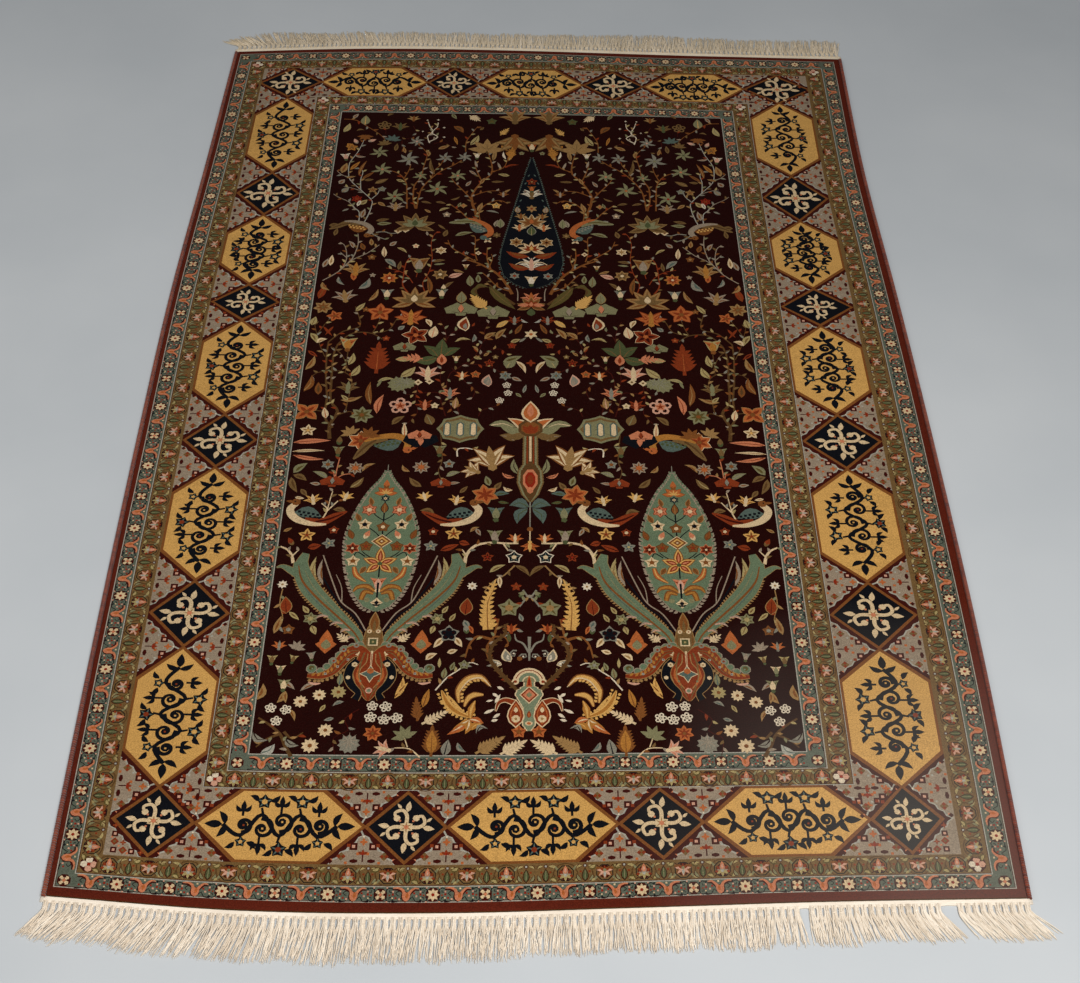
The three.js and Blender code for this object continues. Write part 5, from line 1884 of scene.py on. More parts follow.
def draw_vase_leaves(half):
    """The gold leaves that curl away from the vase on one side."""
    sweep = trail(470, 1364, 469, 1347, 479, 1332, 493, 1329, 504, 1341)
    ribbons(half, sweep, ("brown", [2, 7, 9, 7, 2], 1.2), ("gold", [1, 5, 6.6, 5, 1]))
    half.ribbon("cream", [p + 1.4 - 1.4j for p in sweep[1:]], [0.8, 1.8, 1.8, 0.6])
    half.teeth("gold", [p + 2.4 - 2j for p in sweep[:4]], 4.2, 3.6, 5.0, -1, 0.6)
    short = trail(476, 1369, 480, 1358, 487, 1353, 497, 1353)
    ribbons(half, short, ("brown", [2, 6, 7, 2], 1.2), ("gold", [1, 5, 6, 1.4]))
    broad = trail(450, 1347, 457, 1364, 468, 1376, 485, 1384)
    ribbons(half, broad, ("gold", [1.5, 9, 8, 2]), ("amber", [0.6, 4, 4, 1]))
    half.teeth("gold", [p - 2.4 - 2.4j for p in broad], 4, 4, 4.6, -1, -0.4)
    half.teeth("gold", [p + 2.4 + 2.4j for p in broad], 3.4, 3.4, 4.6, 1, -0.4)
    ribbons(half, trail(483, 1384, 484, 1372, 488, 1361), ("amber", [4, 8, 1]), ("gold", [1, 3, 0.5]))
    root = spot(482, 1386)
    tips = [(458, 1406, "orange"), (470, 1392, "amber"), (478, 1405, "amber"), (498, 1391, "orange")]
    for column, row, yarn in tips:
        tip = spot(column, row) - root
        half.at(root).leaf(yarn, tip, 8, 2)
        half.at(root).leaf("cream", tip * 0.8, 2, 1.4)


def draw_handle(half):
    """The ear of the vase: a broad curled leaf in rust and cream."""
    tendril = trail(532, 1364, 522, 1360, 514, 1364, 511, 1375)
    ribbons(half, tendril, ("cream", [9, 7, 5, 2]), ("rust", [7, 5, 3.4, 0.6]))
    handle = half.at(spot(533.4, 1378))
    for yarn, wide, tall in (("cream", 20, 38), ("rust", 17, 34.5), ("orange", 12.6, 28), ("rust", 10, 22)):
        handle.at(-tall / 2 * 1j).leaf(yarn, tall * 1j, wide, 0, 7)
    handle.at(-7j).disc("cream", 5.0, 8)
    handle.at(-7j).disc("tan", 2.0, 5)
    handle.at(1j).leaf("cream", 8j, 5)


def draw_thorns(half):
    """The thorny branch that rises beside the vase, with grey curls."""
    thorny = trail(534, 1346, 517, 1325, 503, 1303, 507, 1282, 520, 1268, 519, 1254)
    half.teeth("bark", thorny, 5, 2.8, 9, 1, 0.6)
    half.teeth("bark", thorny, 5, 2.8, 11, -1, 0.6)
    half.ribbon("bark", thorny, [4, 5, 4.6, 4, 4, 2])
    for column, row, turn in ((541, 1300, 30), (530, 1296, 70), (523, 1302, 110)):
        curl(half.at(spot(column, row), turn=turn, mirrored=turn > 60), "grey", 1.0, 2.0, 1.2)
        half.at(spot(column, row)).disc("white", 1.4, 4)
    half.ribbon("grey", trail(547, 1294, 541, 1282, 533, 1277, 531, 1268), [2.4, 2.4, 2, 1])
    half.at(spot(533, 1262)).leaf("grey", 8 - 3j, 4)
    half.at(spot(537, 1303)).disc("brown", 3.4, 6)


def draw_vase(pen):
    """The vase on the axis, under a half round cap, with all that springs from it."""
    for half in both(pen):
        draw_vase_leaves(half)
    pen.fill("cream", toothed_outline(upward(VASE, 1.4), 0.3))
    pen.fill("sea", toothed_outline(upward(VASE), 0.3))
    draw_along(pen, [
        (gem, 1353, 1.1, ("cream", 11), ("rust", 9.4), ("salmon", 7), ("sage", 3.6)),
        (Pen.leaf, 1384, "rust", 10j, 5),
        (Pen.leaf, 1383, "orange", 7j, 2.4),
        (Pen.disc, 1391, "cream", 4.4, 8, 0.7),
        (Pen.disc, 1391, "orange", 2.6, 6, 0.7),
    ])
    for half in both(pen):
        draw_handle(half)
    top = pen.at(on_axis(1335))
    for yarn, grow in (
        ("cream", 1.0), ("rust", 0.86), ("cream", 0.8), ("sea", 0.66), ("cream", 0.42), ("sage", 0.34),
    ):
        arch = [cmath.rect(grow, math.pi * i / 10) for i in range(11)]
        top.fill(yarn, [complex(p.real * 18.5, p.imag * 19) for p in arch])
    for side in (-1, 1):
        top.at(side * 15.5).disc("cream", 4.4, 7)
        top.at(side * 15.5).disc("rust", 2.2, 5)
    top.ribbon("orange", [-7j, 0j, 8j], [7, 5, 0.8])
    top.ribbon("red", [-5j, 1j, 5j], [3, 2.4, 0.6])
    for half in both(pen):
        draw_thorns(half)
    pen.ribbon("grey", [on_axis(1306), on_axis(1272)], [2, 4])


# Leaves narrower than this are one plain yarn
PLAIN_LEAF = 4.5

# The small leaves that the boughs bear in turn
SMALL_LEAVES = ("olive", "rose", "sage", "tan", "rust", "straw", "grey", "brown")


def leafed(pen, bough, number):
    """Small leaves to either side of a bough, the first one away from its root."""
    line = smooth(bough, 8)
    travelled, next_at, turn, count = 0.0, 9.0, 1, number
    for a, b in zip(line, line[1:]):
        travelled += abs(b - a)
        if travelled >= next_at:
            next_at += 11.5
            size = 7.4 + (count % 3)
            tip = (b - a) / abs(b - a) * cmath.rect(size, math.radians(turn * 50))
            yarn = SMALL_LEAVES[count % len(SMALL_LEAVES)]
            pen.at(b).leaf(yarn, tip, 3.8, -turn * 0.8, 4)
            turn, count = -turn, count + 1


def draw_leaf(pen, yarn, vein, column, row, to_column, to_row, width, bend=0):
    """A leaf with its midrib, or with a darker heart where it has none."""
    tip = complex(to_column - column, row - to_row)
    leaf = pen.at(spot(column, row))
    leaf.leaf(yarn, tip, width, bend)
    if vein:
        midrib = [tip * 0.08, tip * 0.5 + tip / abs(tip) * 1j * bend, tip * 0.85]
        leaf.stem(vein, midrib, 1.6, 0.6, 2)
    elif width > PLAIN_LEAF:
        leaf.at(tip * 0.16).leaf(SHADES[yarn], tip * 0.62, width * 0.36, bend * 0.6, 4)


def draw_field(shapes):
    """The garden: everything on its left half is mirrored across its axis."""
    pen = Pen(shapes, AXIS + 0j, SQUARE + 0j, lay=straightened)
    halves = both(pen)
    for half in halves:
        for number, (yarn, start, end, *path) in enumerate(BOUGHS):
            bough = trail(*path)
            half.stem(yarn, bough, start, end, 3)
            leafed(half, bough, number)
        for yarn, vein, leaves in LEAVES:
            for leaf in leaves:
                draw_leaf(half, yarn, vein, *leaf)
    for half in halves:
        draw_medallion(half.at(spot(SPRAY_COLUMN, MIDDLE_ROW)))
    draw_pendant(pen)
    draw_cypress(pen)
    for half in halves:
        for draw, flowers in FLOWERS:
            for column, row, size, turn, *yarns in flowers:
                draw(half.at(spot(column, row), turn=turn), size, *yarns)
        bird(half.at(spot(462, 1085), mirrored=True), 34, "brown", "cream", "slate", "navy", "rust")
    draw_vase(pen)


def clipped(outline, low, high):
    """The part of an outline inside a rectangle."""
    for axis, limit, sign in ((0, low.real, 1), (0, high.real, -1), (1, low.imag, 1), (1, high.imag, -1)):
        kept = []
        for a, b in zip(outline, outline[1:] + outline[:1]):
            da = sign * ((a.imag if axis else a.real) - limit)
            db = sign * ((b.imag if axis else b.real) - limit)
            if da >= 0:
                kept.append(a)
            if da * db < 0:
                kept.append(a + (b - a) * da / (da - db))
        outline = kept
        if len(outline) < 3:
            return []
    return outline


def lines_across(low, high, spacing):
    """Even places strictly between two limits."""
    count = max(round((high - low) / spacing), 1)
    return [low + (high - low) * i / count for i in range(1, count)]


def divided(outline, longest):
    """An outline whose long sides are cut up, so that they can follow the bow of the rug's edges."""
    points = []
    for a, b in zip(outline, outline[1:] + outline[:1]):
        pieces = max(math.ceil(abs(b - a) / longest), 1)
        points += [a + (b - a) * i / pieces for i in range(pieces)]
    return points


# The longest side in a drawing, in millimetres
LONGEST = 40

# The bands of a slab beside its rounded rim, and the grid that carries the swell of its top
RIM_LINES = (0.6, 2.0, 4.5, 8.0)
GRID = 40


def holds(outline, x, y):
    """Whether a place lies inside an outline."""
    inside = False
    a = outline[-1]
    for b in outline:
        if (a.imag > y) != (b.imag > y) and x < a.real + (b.real - a.real) * (y - a.imag) / (b.imag - a.imag):
            inside = not inside
        a = b
    return inside


def drawn_plane(low, high, shapes, rows, rim_lines, least_area):
    """Cuts a rectangle into triangles along the outlines of the shapes; each has the topmost yarn."""
    points, edges, faces, yarns, outlines = [], [], [], [], []

    def add_face(yarn, outline):
        outline = divided(outline, LONGEST)
        start = len(points)
        points.extend(Vector((p.real, p.imag)) for p in outline)
        faces.append(list(range(start, start + len(outline))))
        yarns.append(yarn)
        outlines.append(outline)

    def add_line(a, b, pieces):
        start = len(points)
        points.extend(Vector((p.real, p.imag)) for p in (a + (b - a) * i / pieces for i in range(pieces + 1)))
        edges.extend((start + i, start + i + 1) for i in range(pieces))

    wide, tall = high.real - low.real, high.imag - low.imag
    add_face("wine", [low, complex(high.real, low.imag), high, complex(low.real, high.imag)])
    for yarn, outline in shapes:
        left = min(p.real for p in outline)
        right = max(p.real for p in outline)
        near = min(p.imag for p in outline)
        far = max(p.imag for p in outline)
        if right <= low.real or left >= high.real or far <= low.imag or near >= high.imag:
            continue
        if least_area and (right - left) * (far - near) < least_area:
            continue
        inside = left >= low.real and right <= high.real and near >= low.imag and far <= high.imag
        piece = outline if inside else clipped(outline, low, high)
        if len(piece) > 2:
            add_face(yarn, piece)
    for x in lines_across(low.real, high.real, GRID):
        for y in lines_across(low.imag, high.imag, GRID):
            points.append(Vector((x, y)))
    cuts = lines_across(0, max(wide, tall), max(wide, tall) / rows)
    for cut in cuts:
        if wide > tall:
            add_line(complex(low.real + cut, low.imag), complex(low.real + cut, high.imag), 8)
        else:
            add_line(complex(low.real, low.imag + cut), complex(high.real, low.imag + cut), 8)
    for inset in rim_lines:
        x, y = WIDTH / 2 - CORD["width"] - GAP - inset, LENGTH / 2 - inset
        near_left, near_right = complex(-x, -y), complex(x, -y)
        far_left, far_right = complex(-x, y), complex(x, y)
        for a, b in (
            (near_left, near_right),
            (far_right, far_left),
            (near_right, far_right),
            (far_left, near_left),
        ):
            piece = clipped([a, b, b + 0.001, a + 0.001], low, high)
            if len(piece) > 2 and abs(piece[1] - piece[0]) > 1:
                add_line(piece[0], piece[1], max(round(abs(piece[1] - piece[0]) / GRID), 1))
    spots, _, cells, _, _, origins = delaunay_2d_cdt(points, edges, faces, 1, 1e-3)
    spots = [(p.x, p.y) for p in spots]
    coloured = []
    for cell, under in zip(cells, origins):
        x = sum(spots[i][0] for i in cell) / 3
        y = sum(spots[i][1] for i in cell) / 3
        top = next((i for i in sorted(under, reverse=True) if holds(outlines[i], x, y)), 0)
        coloured.append(yarns[top])
    return spots, cells, coloured


def boundary_loop(cells):
    """The outline of a field of triangles, as point numbers in order."""
    sides = {(a, b) for cell in cells for a, b in zip(cell, cell[1:] + cell[:1])}
    follows = {a: b for a, b in sides if (b, a) not in sides}
    start = next(iter(follows))
    loop = [start]
    while follows[loop[-1]] != start:
        loop.append(follows[loop[-1]])
    return loop


# The clear strip round each row of a bake map, and how small the plain face lies on it
MAP_MARGIN = 8
PLAIN_SHRINK = 0.25


def map_places(low, high, rows):
    """Where a slab's face lies on its bake map: its rows side by side, scaled to fill the square."""
    wide, tall = high.real - low.real, high.imag - low.imag
    across = wide > tall
    step = max(wide, tall) / rows
    pitch = min(wide, tall) + 2 * MAP_MARGIN
    size = max(step + 2 * MAP_MARGIN, rows * pitch)

    def on_map(x, y, middle):
        """The map place of a point, in the row that the middle of its face is in."""
        run, other = (x - low.real, y - low.imag) if across else (y - low.imag, x - low.real)
        at = middle[0] - low.real if across else middle[1] - low.imag
        row = min(int(at / step), rows - 1)
        u, v = run - row * step + MAP_MARGIN, other + row * pitch + MAP_MARGIN
        return u / size, v / size

    return on_map, size


def upright(top, x, y):
    """The direction that a surface faces at a place."""
    slope_x = (top(x + 0.5, y) - top(x - 0.5, y)) if abs(x) < WIDTH / 2 else 0.0
    slope_y = (top(x, y + 0.5) - top(x, y - 0.5)) if abs(y) < LENGTH / 2 else 0.0
    return Vector((-slope_x, -slope_y, 1)).normalized()


def woven_slab(name, low, high, shapes, top, foot, face_up=True, rows=1, rim_lines=(), least_area=0):
    """A closed slab with the drawing on one face; top and foot give its heights in millimetres."""
    spots, cells, yarns = drawn_plane(low, high, shapes, rows, rim_lines, least_area)
    cells = [list(c) for c in cells]
    loop = boundary_loop(cells)
    drawn, plain = (top, foot) if face_up else (foot, top)
    vertices = []
    for x, y in spots:
        place = laid(x, y)
        vertices.append((place[0] * MM, place[1] * MM, drawn(x, y) * MM))
    below = {}
    for i in loop:
        below[i] = len(vertices)
        x, y = spots[i]
        place = laid(x, y)
        vertices.append((place[0] * MM, place[1] * MM, plain(x, y) * MM))
    on_map, size = map_places(low, high, rows)
    faces, colours, uvs = [], [], []
    for cell, yarn in zip(cells, yarns):
        middle = [sum(spots[i][k] for i in cell) / len(cell) for k in (0, 1)]
        faces.append(cell)
        colours += [DYES[yarn]] * len(cell)
        uvs += [on_map(*spots[i], middle) for i in cell]
    drawn_faces = len(faces)
    for a, b in zip(loop, loop[1:] + loop[:1]):
        pa, pb = complex(*spots[a]), complex(*spots[b])
        away = (pb - pa) / abs(pb - pa) * -1j * MAP_MARGIN * 0.5
        middle = ((pa + pb) / 2 - away).real, ((pa + pb) / 2 - away).imag
        faces.append([a, below[a], below[b], b])
        colours += [DYES["bark"]] * 4
        for p in (pa, pa + away, pb + away, pb):
            uvs.append(on_map(p.real, p.imag, middle))
    faces.append([below[i] for i in reversed(loop)])
    colours += [DYES["bark"]] * len(loop)
    shrink = PLAIN_SHRINK / size
    for i in reversed(loop):
        x, y = spots[i]
        uvs.append((1 - (x - low.real) * shrink - 0.001, 1 - (y - low.imag) * shrink - 0.001))
    if not face_up:
        faces = [f[::-1] for f in faces]
        colours, uvs = reversed_by_face(faces, colours), reversed_by_face(faces, uvs)
    mesh = bpy.data.meshes.new(name)
    mesh.from_pydata(vertices, [], faces)
    smooth_faces = [i < drawn_faces for i in range(len(faces))]
    mesh.polygons.foreach_set("use_smooth", smooth_faces)
    if face_up:
        facing = [upright(top, x, y) for x, y in spots]
        facings = [facing[i] for cell in cells for i in cell]
        plain_corners = sum(len(face) for face in faces[drawn_faces:])
        mesh.normals_split_custom_set(facings + [(0, 0, 0)] * plain_corners)
    layer = mesh.color_attributes.new("yarn", "FLOAT_COLOR", "CORNER")
    layer.data.foreach_set("color", [part for colour in colours for part in colour])
    maps = mesh.uv_layers.new(name="OFBake")
    maps.data.foreach_set("uv", [part for uv in uvs for part in uv])
    mesh.update()
    return new_piece(name, mesh)


def reversed_by_face(faces, corners_data):
    """What belongs to each face's corners, in the order of the face turned over."""
    turned, at = [], 0
    for face in faces:
        turned += corners_data[at : at + len(face)][::-1]
        at += len(face)
    return turned


def new_piece(name, data):
    piece = bpy.data.objects.new(name, data)
    bpy.context.scene.collection.objects.link(piece)
    return piece


DYES = {name: linear(code) for name, code in YARNS.items()}


# The pale corner of the pile, in metres: a painted sheen of the silk pile that lightens its colour there
PAINTED_SHEEN = {"middle": (0.52, -0.88, 0.0), "reach": 0.4, "most": 0.14, "colour": "#aaa196"}


def pile_finish():
    """Knotted silky pile: its yarn's colour, uneven from knot to knot and in the bands of each dye lot."""
    finish = Finish("silky knotted pile")
    yarn = finish.node("ShaderNodeVertexColor", {"layer_name": "yarn"})
    knots = finish.noise(620, 1.0)
    rows = finish.noise(26, 2.0, (0.25, 3.2, 1))
    patches = finish.noise(3.1, 2.0)
    tone = 0.9 + (knots - 0.5) * 1.15 + (rows - 0.5) * 0.22 + (patches - 0.5) * 0.3
    bright = finish.node("ShaderNodeCombineColor", {}, Red=tone, Green=tone, Blue=tone)
    coloured = finish.mix(1.0, yarn, bright, "MULTIPLY")
    tips = finish.spread(finish.noise(900, 0.0), 0.55, 0.8, 0.0, 0.02)
    coloured = finish.mix(tips, coloured, (0.30, 0.22, 0.16, 1))
    # Painted sheen: the pile's colour pales towards the near right corner, as silk pile does where it catches
    # the light
    away = finish.node("ShaderNodeVectorMath", {"operation": "DISTANCE"}, finish.place(), PAINTED_SHEEN["middle"])
    wear_and_sheen = finish.spread(away + (patches - 0.5) * 0.3, 0.08, PAINTED_SHEEN["reach"], PAINTED_SHEEN["most"], 0.0)
    coloured = finish.mix(wear_and_sheen, coloured, linear(PAINTED_SHEEN["colour"]))
    relief = finish.noise(560, 2.0) + finish.noise(75, 2.0) * 0.6
    bump = finish.node("ShaderNodeBump", {}, Strength=0.55, Distance=0.0012, Height=relief)
    return finish.shade(
        Base_Color=coloured,
        Roughness=0.72,
        Normal=bump,
        Specular_IOR_Level=0.04,
    )


def ground_finish():
    """The knotted back: the same drawing, with the ridges of the wefts."""
    finish = Finish("knotted back")
    yarn = finish.node("ShaderNodeVertexColor", {"layer_name": "yarn"})
    wefts = finish.node(
        "ShaderNodeTexWave", {"bands_direction": "Y"}, Vector=finish.place(), Scale=130, Distortion=0.6
    )
    warps = finish.node(
        "ShaderNodeTexWave", {"bands_direction": "X"}, Vector=finish.place(), Scale=110, Distortion=0.4
    )
    coloured = finish.mix(finish.spread(wefts, 0.0, 0.3, 0.35, 0.0), yarn, (0.33, 0.27, 0.2, 1))
    bump = finish.node("ShaderNodeBump", {}, Strength=0.6, Distance=0.0006, Height=wefts * 0.7 + warps * 0.5)
    return finish.shade(Base_Color=coloured, Roughness=0.85, Normal=bump)


def cord_finish():
    """Rust wool yarn wound round the side cords: each turn a little different."""
    finish = Finish("rust overcast yarn")
    tone = finish.node("ShaderNodeAttribute", {"attribute_name": "tone"}, out=2)
    fibre = finish.noise(900, 2.0, (1, 0.35, 1))
    wear_and_sheen = finish.spread(finish.noise(7, 2.0), 0.45, 0.7, 0.0, 0.5)
    coloured = finish.mix(tone, linear("#8a3a1c"), linear("#5c2110"))
    coloured = finish.mix(wear_and_sheen, coloured, linear("#9a4a26"))
    coloured = finish.mix(finish.spread(fibre, 0.3, 0.7, 0.0, 0.35), coloured, linear("#3a140a"))
    bump = finish.node("ShaderNodeBump", {}, Strength=0.5, Distance=0.0004, Height=fibre)
    return finish.shade(Base_Color=coloured, Roughness=0.85, Normal=bump, Sheen_Weight=0.2)


def cotton_finish(name, light, dark):
    """Undyed cotton: threads of slightly different cream, greyer in soiled patches."""
    finish = Finish(name)
    tone = finish.node("ShaderNodeAttribute", {"attribute_name": "tone"}, out=2)
    soil = finish.spread(finish.noise(14, 3.0), 0.35, 0.75, 0.0, 0.55)
    fibre = finish.noise(1300, 2.0)
    coloured = finish.mix(tone, linear(light), linear(dark))
    coloured = finish.mix(soil, coloured, linear(dark))
    bump = finish.node("ShaderNodeBump", {}, Strength=0.45, Distance=0.0003, Height=fibre)
    return finish.shade(Base_Color=coloured, Roughness=0.9, Normal=bump, Sheen_Weight=0.15)


class Pattern(Wiring):
    """A Geometry Nodes tree under construction, with named inputs for its sizes."""

    def __init__(self, name, sizes):
        self.tree = bpy.data.node_groups.new(name, "GeometryNodeTree")
        face = self.tree.interface
        face.new_socket("Geometry", in_out="INPUT", socket_type="NodeSocketGeometry")
        face.new_socket("Geometry", in_out="OUTPUT", socket_type="NodeSocketGeometry")
        self.sizes = sizes
        for size in sizes:
            face.new_socket(size, in_out="INPUT", socket_type="NodeSocketFloat")
        self.entry = self.tree.nodes.new("NodeGroupInput")
        self.exit = self.tree.nodes.new("NodeGroupOutput")

    def given(self, name):
        return Value(self, self.entry.outputs[name])

    def finished(self, geometry, material):
        real = self.node("GeometryNodeRealizeInstances", {}, Geometry=geometry)
        dressed = self.node("GeometryNodeSetMaterial", {}, Geometry=real, Material=material)
        self.put(self.exit.inputs[0], dressed)

    def grow(self, name, seed_data):
        """Runs the tree on a curve and keeps the result as a plain mesh."""
        guide = bpy.data.objects.new(name + " guide", seed_data)
        bpy.context.scene.collection.objects.link(guide)
        modifier = guide.modifiers.new("pattern", "NODES")
        modifier.node_group = self.tree
        for item in self.tree.interface.items_tree:
            if item.in_out == "INPUT" and item.name in self.sizes:
                modifier[item.identifier] = self.sizes[item.name]
        graph = bpy.context.evaluated_depsgraph_get()
        mesh = bpy.data.meshes.new_from_object(guide.evaluated_get(graph), depsgraph=graph)
        mesh.name = name
        bpy.data.objects.remove(guide)
        bpy.data.curves.remove(seed_data)
        return new_piece(name, mesh)


def curve_through(name, lines):
    """A curve with one spline for each line: points (x, y, z) in millimetres, a thickness at each."""
    data = bpy.data.curves.new(name, "CURVE")
    data.dimensions = "3D"
    for points, radii, closed in lines:
        spline = data.splines.new("POLY")
        spline.points.add(len(points) - 1)
        spline.use_cyclic_u = closed
        for point, place, radius in zip(spline.points, points, radii):
            point.co = (place[0] * MM, place[1] * MM, place[2] * MM, 1)
            point.radius = radius
    return data


def overcast_pattern(material):
    """Turns of yarn wound round a cord, each leaning a little along it."""
    sizes = {
        "Turn Pitch": CORD["pitch"] * MM,
        "Yarn Half Width": CORD["yarn"] * MM,
        "Turn Lean": CORD["lean"],
    }
    pattern = Pattern("overcast cord", sizes)
    path = pattern.given("Geometry")
    core_section = pattern.node(
        "GeometryNodeCurvePrimitiveCircle", {}, Resolution=10, Radius=CORD["core"] * MM
    )
    core = pattern.node("GeometryNodeCurveToMesh", {}, Curve=path, Profile_Curve=core_section, Fill_Caps=True)
    ring_path = pattern.node("GeometryNodeCurvePrimitiveCircle", {}, Resolution=7, Radius=1.0)
    oval = pattern.node("GeometryNodeTransform", {}, Geometry=ring_path, Scale=(2.75 * MM, 2.45 * MM, MM))
    section = pattern.node("GeometryNodeCurvePrimitiveCircle", {}, Resolution=4, Radius=1.0)
    half = pattern.given("Yarn Half Width")
    flat = pattern.node("ShaderNodeCombineXYZ", {}, X=half * 0.5, Y=half, Z=1.0)
    yarn_section = pattern.node("GeometryNodeTransform", {}, Geometry=section, Scale=flat)
    turn = pattern.node("GeometryNodeCurveToMesh", {}, Curve=oval, Profile_Curve=yarn_section)
    pitch = pattern.given("Turn Pitch")
    places = pattern.node("GeometryNodeResampleCurve", {"mode": "LENGTH"}, Curve=path, Length=pitch)
    ahead = pattern.node("GeometryNodeInputTangent", {})
    facing = pattern.node("FunctionNodeAlignRotationToVector", {"axis": "Z"}, Vector=ahead)
    lean = pattern.node("ShaderNodeCombineXYZ", {}, X=0.0, Y=pattern.given("Turn Lean"), Z=0.0)
    leaning = pattern.node(
        "FunctionNodeRotateRotation", {"rotation_space": "LOCAL"}, Rotation=facing, Rotate_By=lean
    )
    turns = pattern.node("GeometryNodeInstanceOnPoints", {}, Points=places, Instance=turn, Rotation=leaning)
    shade = pattern.node("FunctionNodeRandomValue", {"data_type": "FLOAT"}, Min=0.0, Max=1.0, Seed=7)
    toned = pattern.node(
        "GeometryNodeStoreNamedAttribute",
        {"data_type": "FLOAT", "domain": "INSTANCE"},
        Geometry=turns,
        Name="tone",
        Value=shade,
    )
    joined = pattern.tree.nodes.new("GeometryNodeJoinGeometry")
    pattern.tree.links.new(core.socket, joined.inputs[0])
    pattern.tree.links.new(toned.socket, joined.inputs[0])
    pattern.finished(Value(pattern, joined.outputs[0]), material)
    return pattern


def thread_pattern(material, name, sides):
    """Threads as thin tubes along their paths, each in its own tone."""
    pattern = Pattern(name, {"Thread Radius": 1.0 * MM})
    shade = pattern.node("FunctionNodeRandomValue", {"data_type": "FLOAT"}, Min=0.0, Max=1.0, Seed=11)
    toned = pattern.node(
        "GeometryNodeStoreNamedAttribute",
        {"data_type": "FLOAT", "domain": "CURVE"},
        Geometry=pattern.given("Geometry"),
        Name="tone",
        Value=shade,
    )
    section = pattern.node(
        "GeometryNodeCurvePrimitiveCircle", {}, Resolution=sides, Radius=pattern.given("Thread Radius")
    )
    width = pattern.node("GeometryNodeInputRadius", {})
    tubes = pattern.node(
        "GeometryNodeCurveToMesh", {}, Curve=toned, Profile_Curve=section, Scale=width, Fill_Caps=True
    )
    pattern.finished(tubes, material)
    return pattern


def make_cord(name, side, pattern):
    """A side cord along its edge, from one end of the pile to the other."""
    steps = CORD["steps"]
    points = []
    for i in range(steps + 1):
        x, y = laid(side * (WIDTH - CORD["width"]) / 2, LENGTH * (i / steps - 0.5))
        points.append((x, y, CORD["height"] / 2))
    path = curve_through(name, [(points, [1.0] * len(points), False)])
    return pattern.grow(name, path)


# The cotton strip, and the threads that hang from it in knotted bunches
STRIP = {
    "thickness": 2.4,
    "ridge": 1.3,
    "columns": 150,
    "edge": 0.75,
    "valley": 0.82,
    "weave": 0.12,
    "wander": 0.5,
}

# A bunch of fringe: its threads run straight, bend, then loosen over a stretch, and lie low
BUNCHES_PER_END = 132
BUNCH = {"threads": 10, "bend_from": 12, "length": 60, "loosen": 30, "low": 0.7, "rise": 1.3}

# How far the threads of a bunch go their own ways: the limits of each random draw
VARIETY = {
    "bunch lean": (-5, 5),
    "bunch reach": (0.94, 1.05),
    "reach": (0.84, 1.04),
    "lean": (-0.12, 0.12),
    "level": (0, 1),
    "wave": (0.2, 0.9),
    "phase": (0, math.tau),
    "spread": (0.85, 1.25),
    "stray": (-0.35, 0.35),
}

# The knot of each bunch in millimetres, and where along it each turn lies and how it tilts
KNOT = {"at": 6.5, "wide": 3, "middle": 1.9, "tall": 1.15, "yarn": 0.7, "sides": 8}
KNOT_TURNS = [(-0.8, 0.5), (0.5, -0.4), (1.5, 0.3)]

# How wide a bunch and how thick its threads are, from the root to the tips
STATIONS = [
    {"at": -2.5, "spread": 4.2, "radius": 0.75},
    {"at": 4.0, "spread": 3.0, "radius": 0.85},
    {"at": 9.5, "spread": 3.4, "radius": 0.9},
    {"at": 17.0, "spread": 4.8, "radius": 0.95},
    {"at": 28.0, "spread": 6.4, "radius": 0.98},
    {"at": 42.0, "spread": 7.4, "radius": 0.92},
    {"at": 55.0, "spread": 7.8, "radius": 0.7},
    {"at": 61.0, "spread": 8.0, "radius": 0.4},
]

# Neighbouring bunches that lean together
TUFT = {"bunches": 11, "pinch": 1.225, "shorter": 0.1}

# The two ends: the lie of the threads (lean in degrees, right being positive) and the worn places
NEAR_END = {
    "facing": -1,
    "strip": 8,
    "lie": [
        {"across": -1.0, "lean": -30, "reach": 0.95},
        {"across": -0.93, "lean": -42, "reach": 1.0},
        {"across": -0.82, "lean": -34, "reach": 1.02},
        {"across": -0.7, "lean": -26, "reach": 1.08},
        {"across": -0.5, "lean": -12, "reach": 1.03},
        {"across": -0.25, "lean": -4, "reach": 1.02},
        {"across": 0.0, "lean": -2, "reach": 0.87},
        {"across": 0.25, "lean": 1, "reach": 0.86},
        {"across": 0.5, "lean": 0, "reach": 0.87},
        {"across": 0.57, "lean": 7, "reach": 0.86},
        {"across": 0.7, "lean": 20, "reach": 0.85},
        {"across": 0.8, "lean": 32, "reach": 0.93},
        {"across": 1.0, "lean": 42, "reach": 0.98},
    ],
    "bare": [(0.531, 0.543), (0.824, 0.85)],
}
FAR_END = {
    "facing": 1,
    "strip": 14,
    "lie": [
        {"across": -1.0, "lean": -60, "reach": 0.85},
        {"across": -0.93, "lean": -42, "reach": 0.95},
        {"across": -0.85, "lean": -16, "reach": 1.1},
        {"across": -0.75, "lean": -24, "reach": 1.0},
        {"across": -0.5, "lean": -8, "reach": 0.95},
        {"across": 0.0, "lean": 2, "reach": 0.95},
        {"across": 0.35, "lean": 4, "reach": 1.12},
        {"across": 0.5, "lean": 2, "reach": 1.1},
        {"across": 0.7, "lean": 6, "reach": 1.0},
        {"across": 1.0, "lean": 4, "reach": 1.05},
    ],
    "bare": [],
}


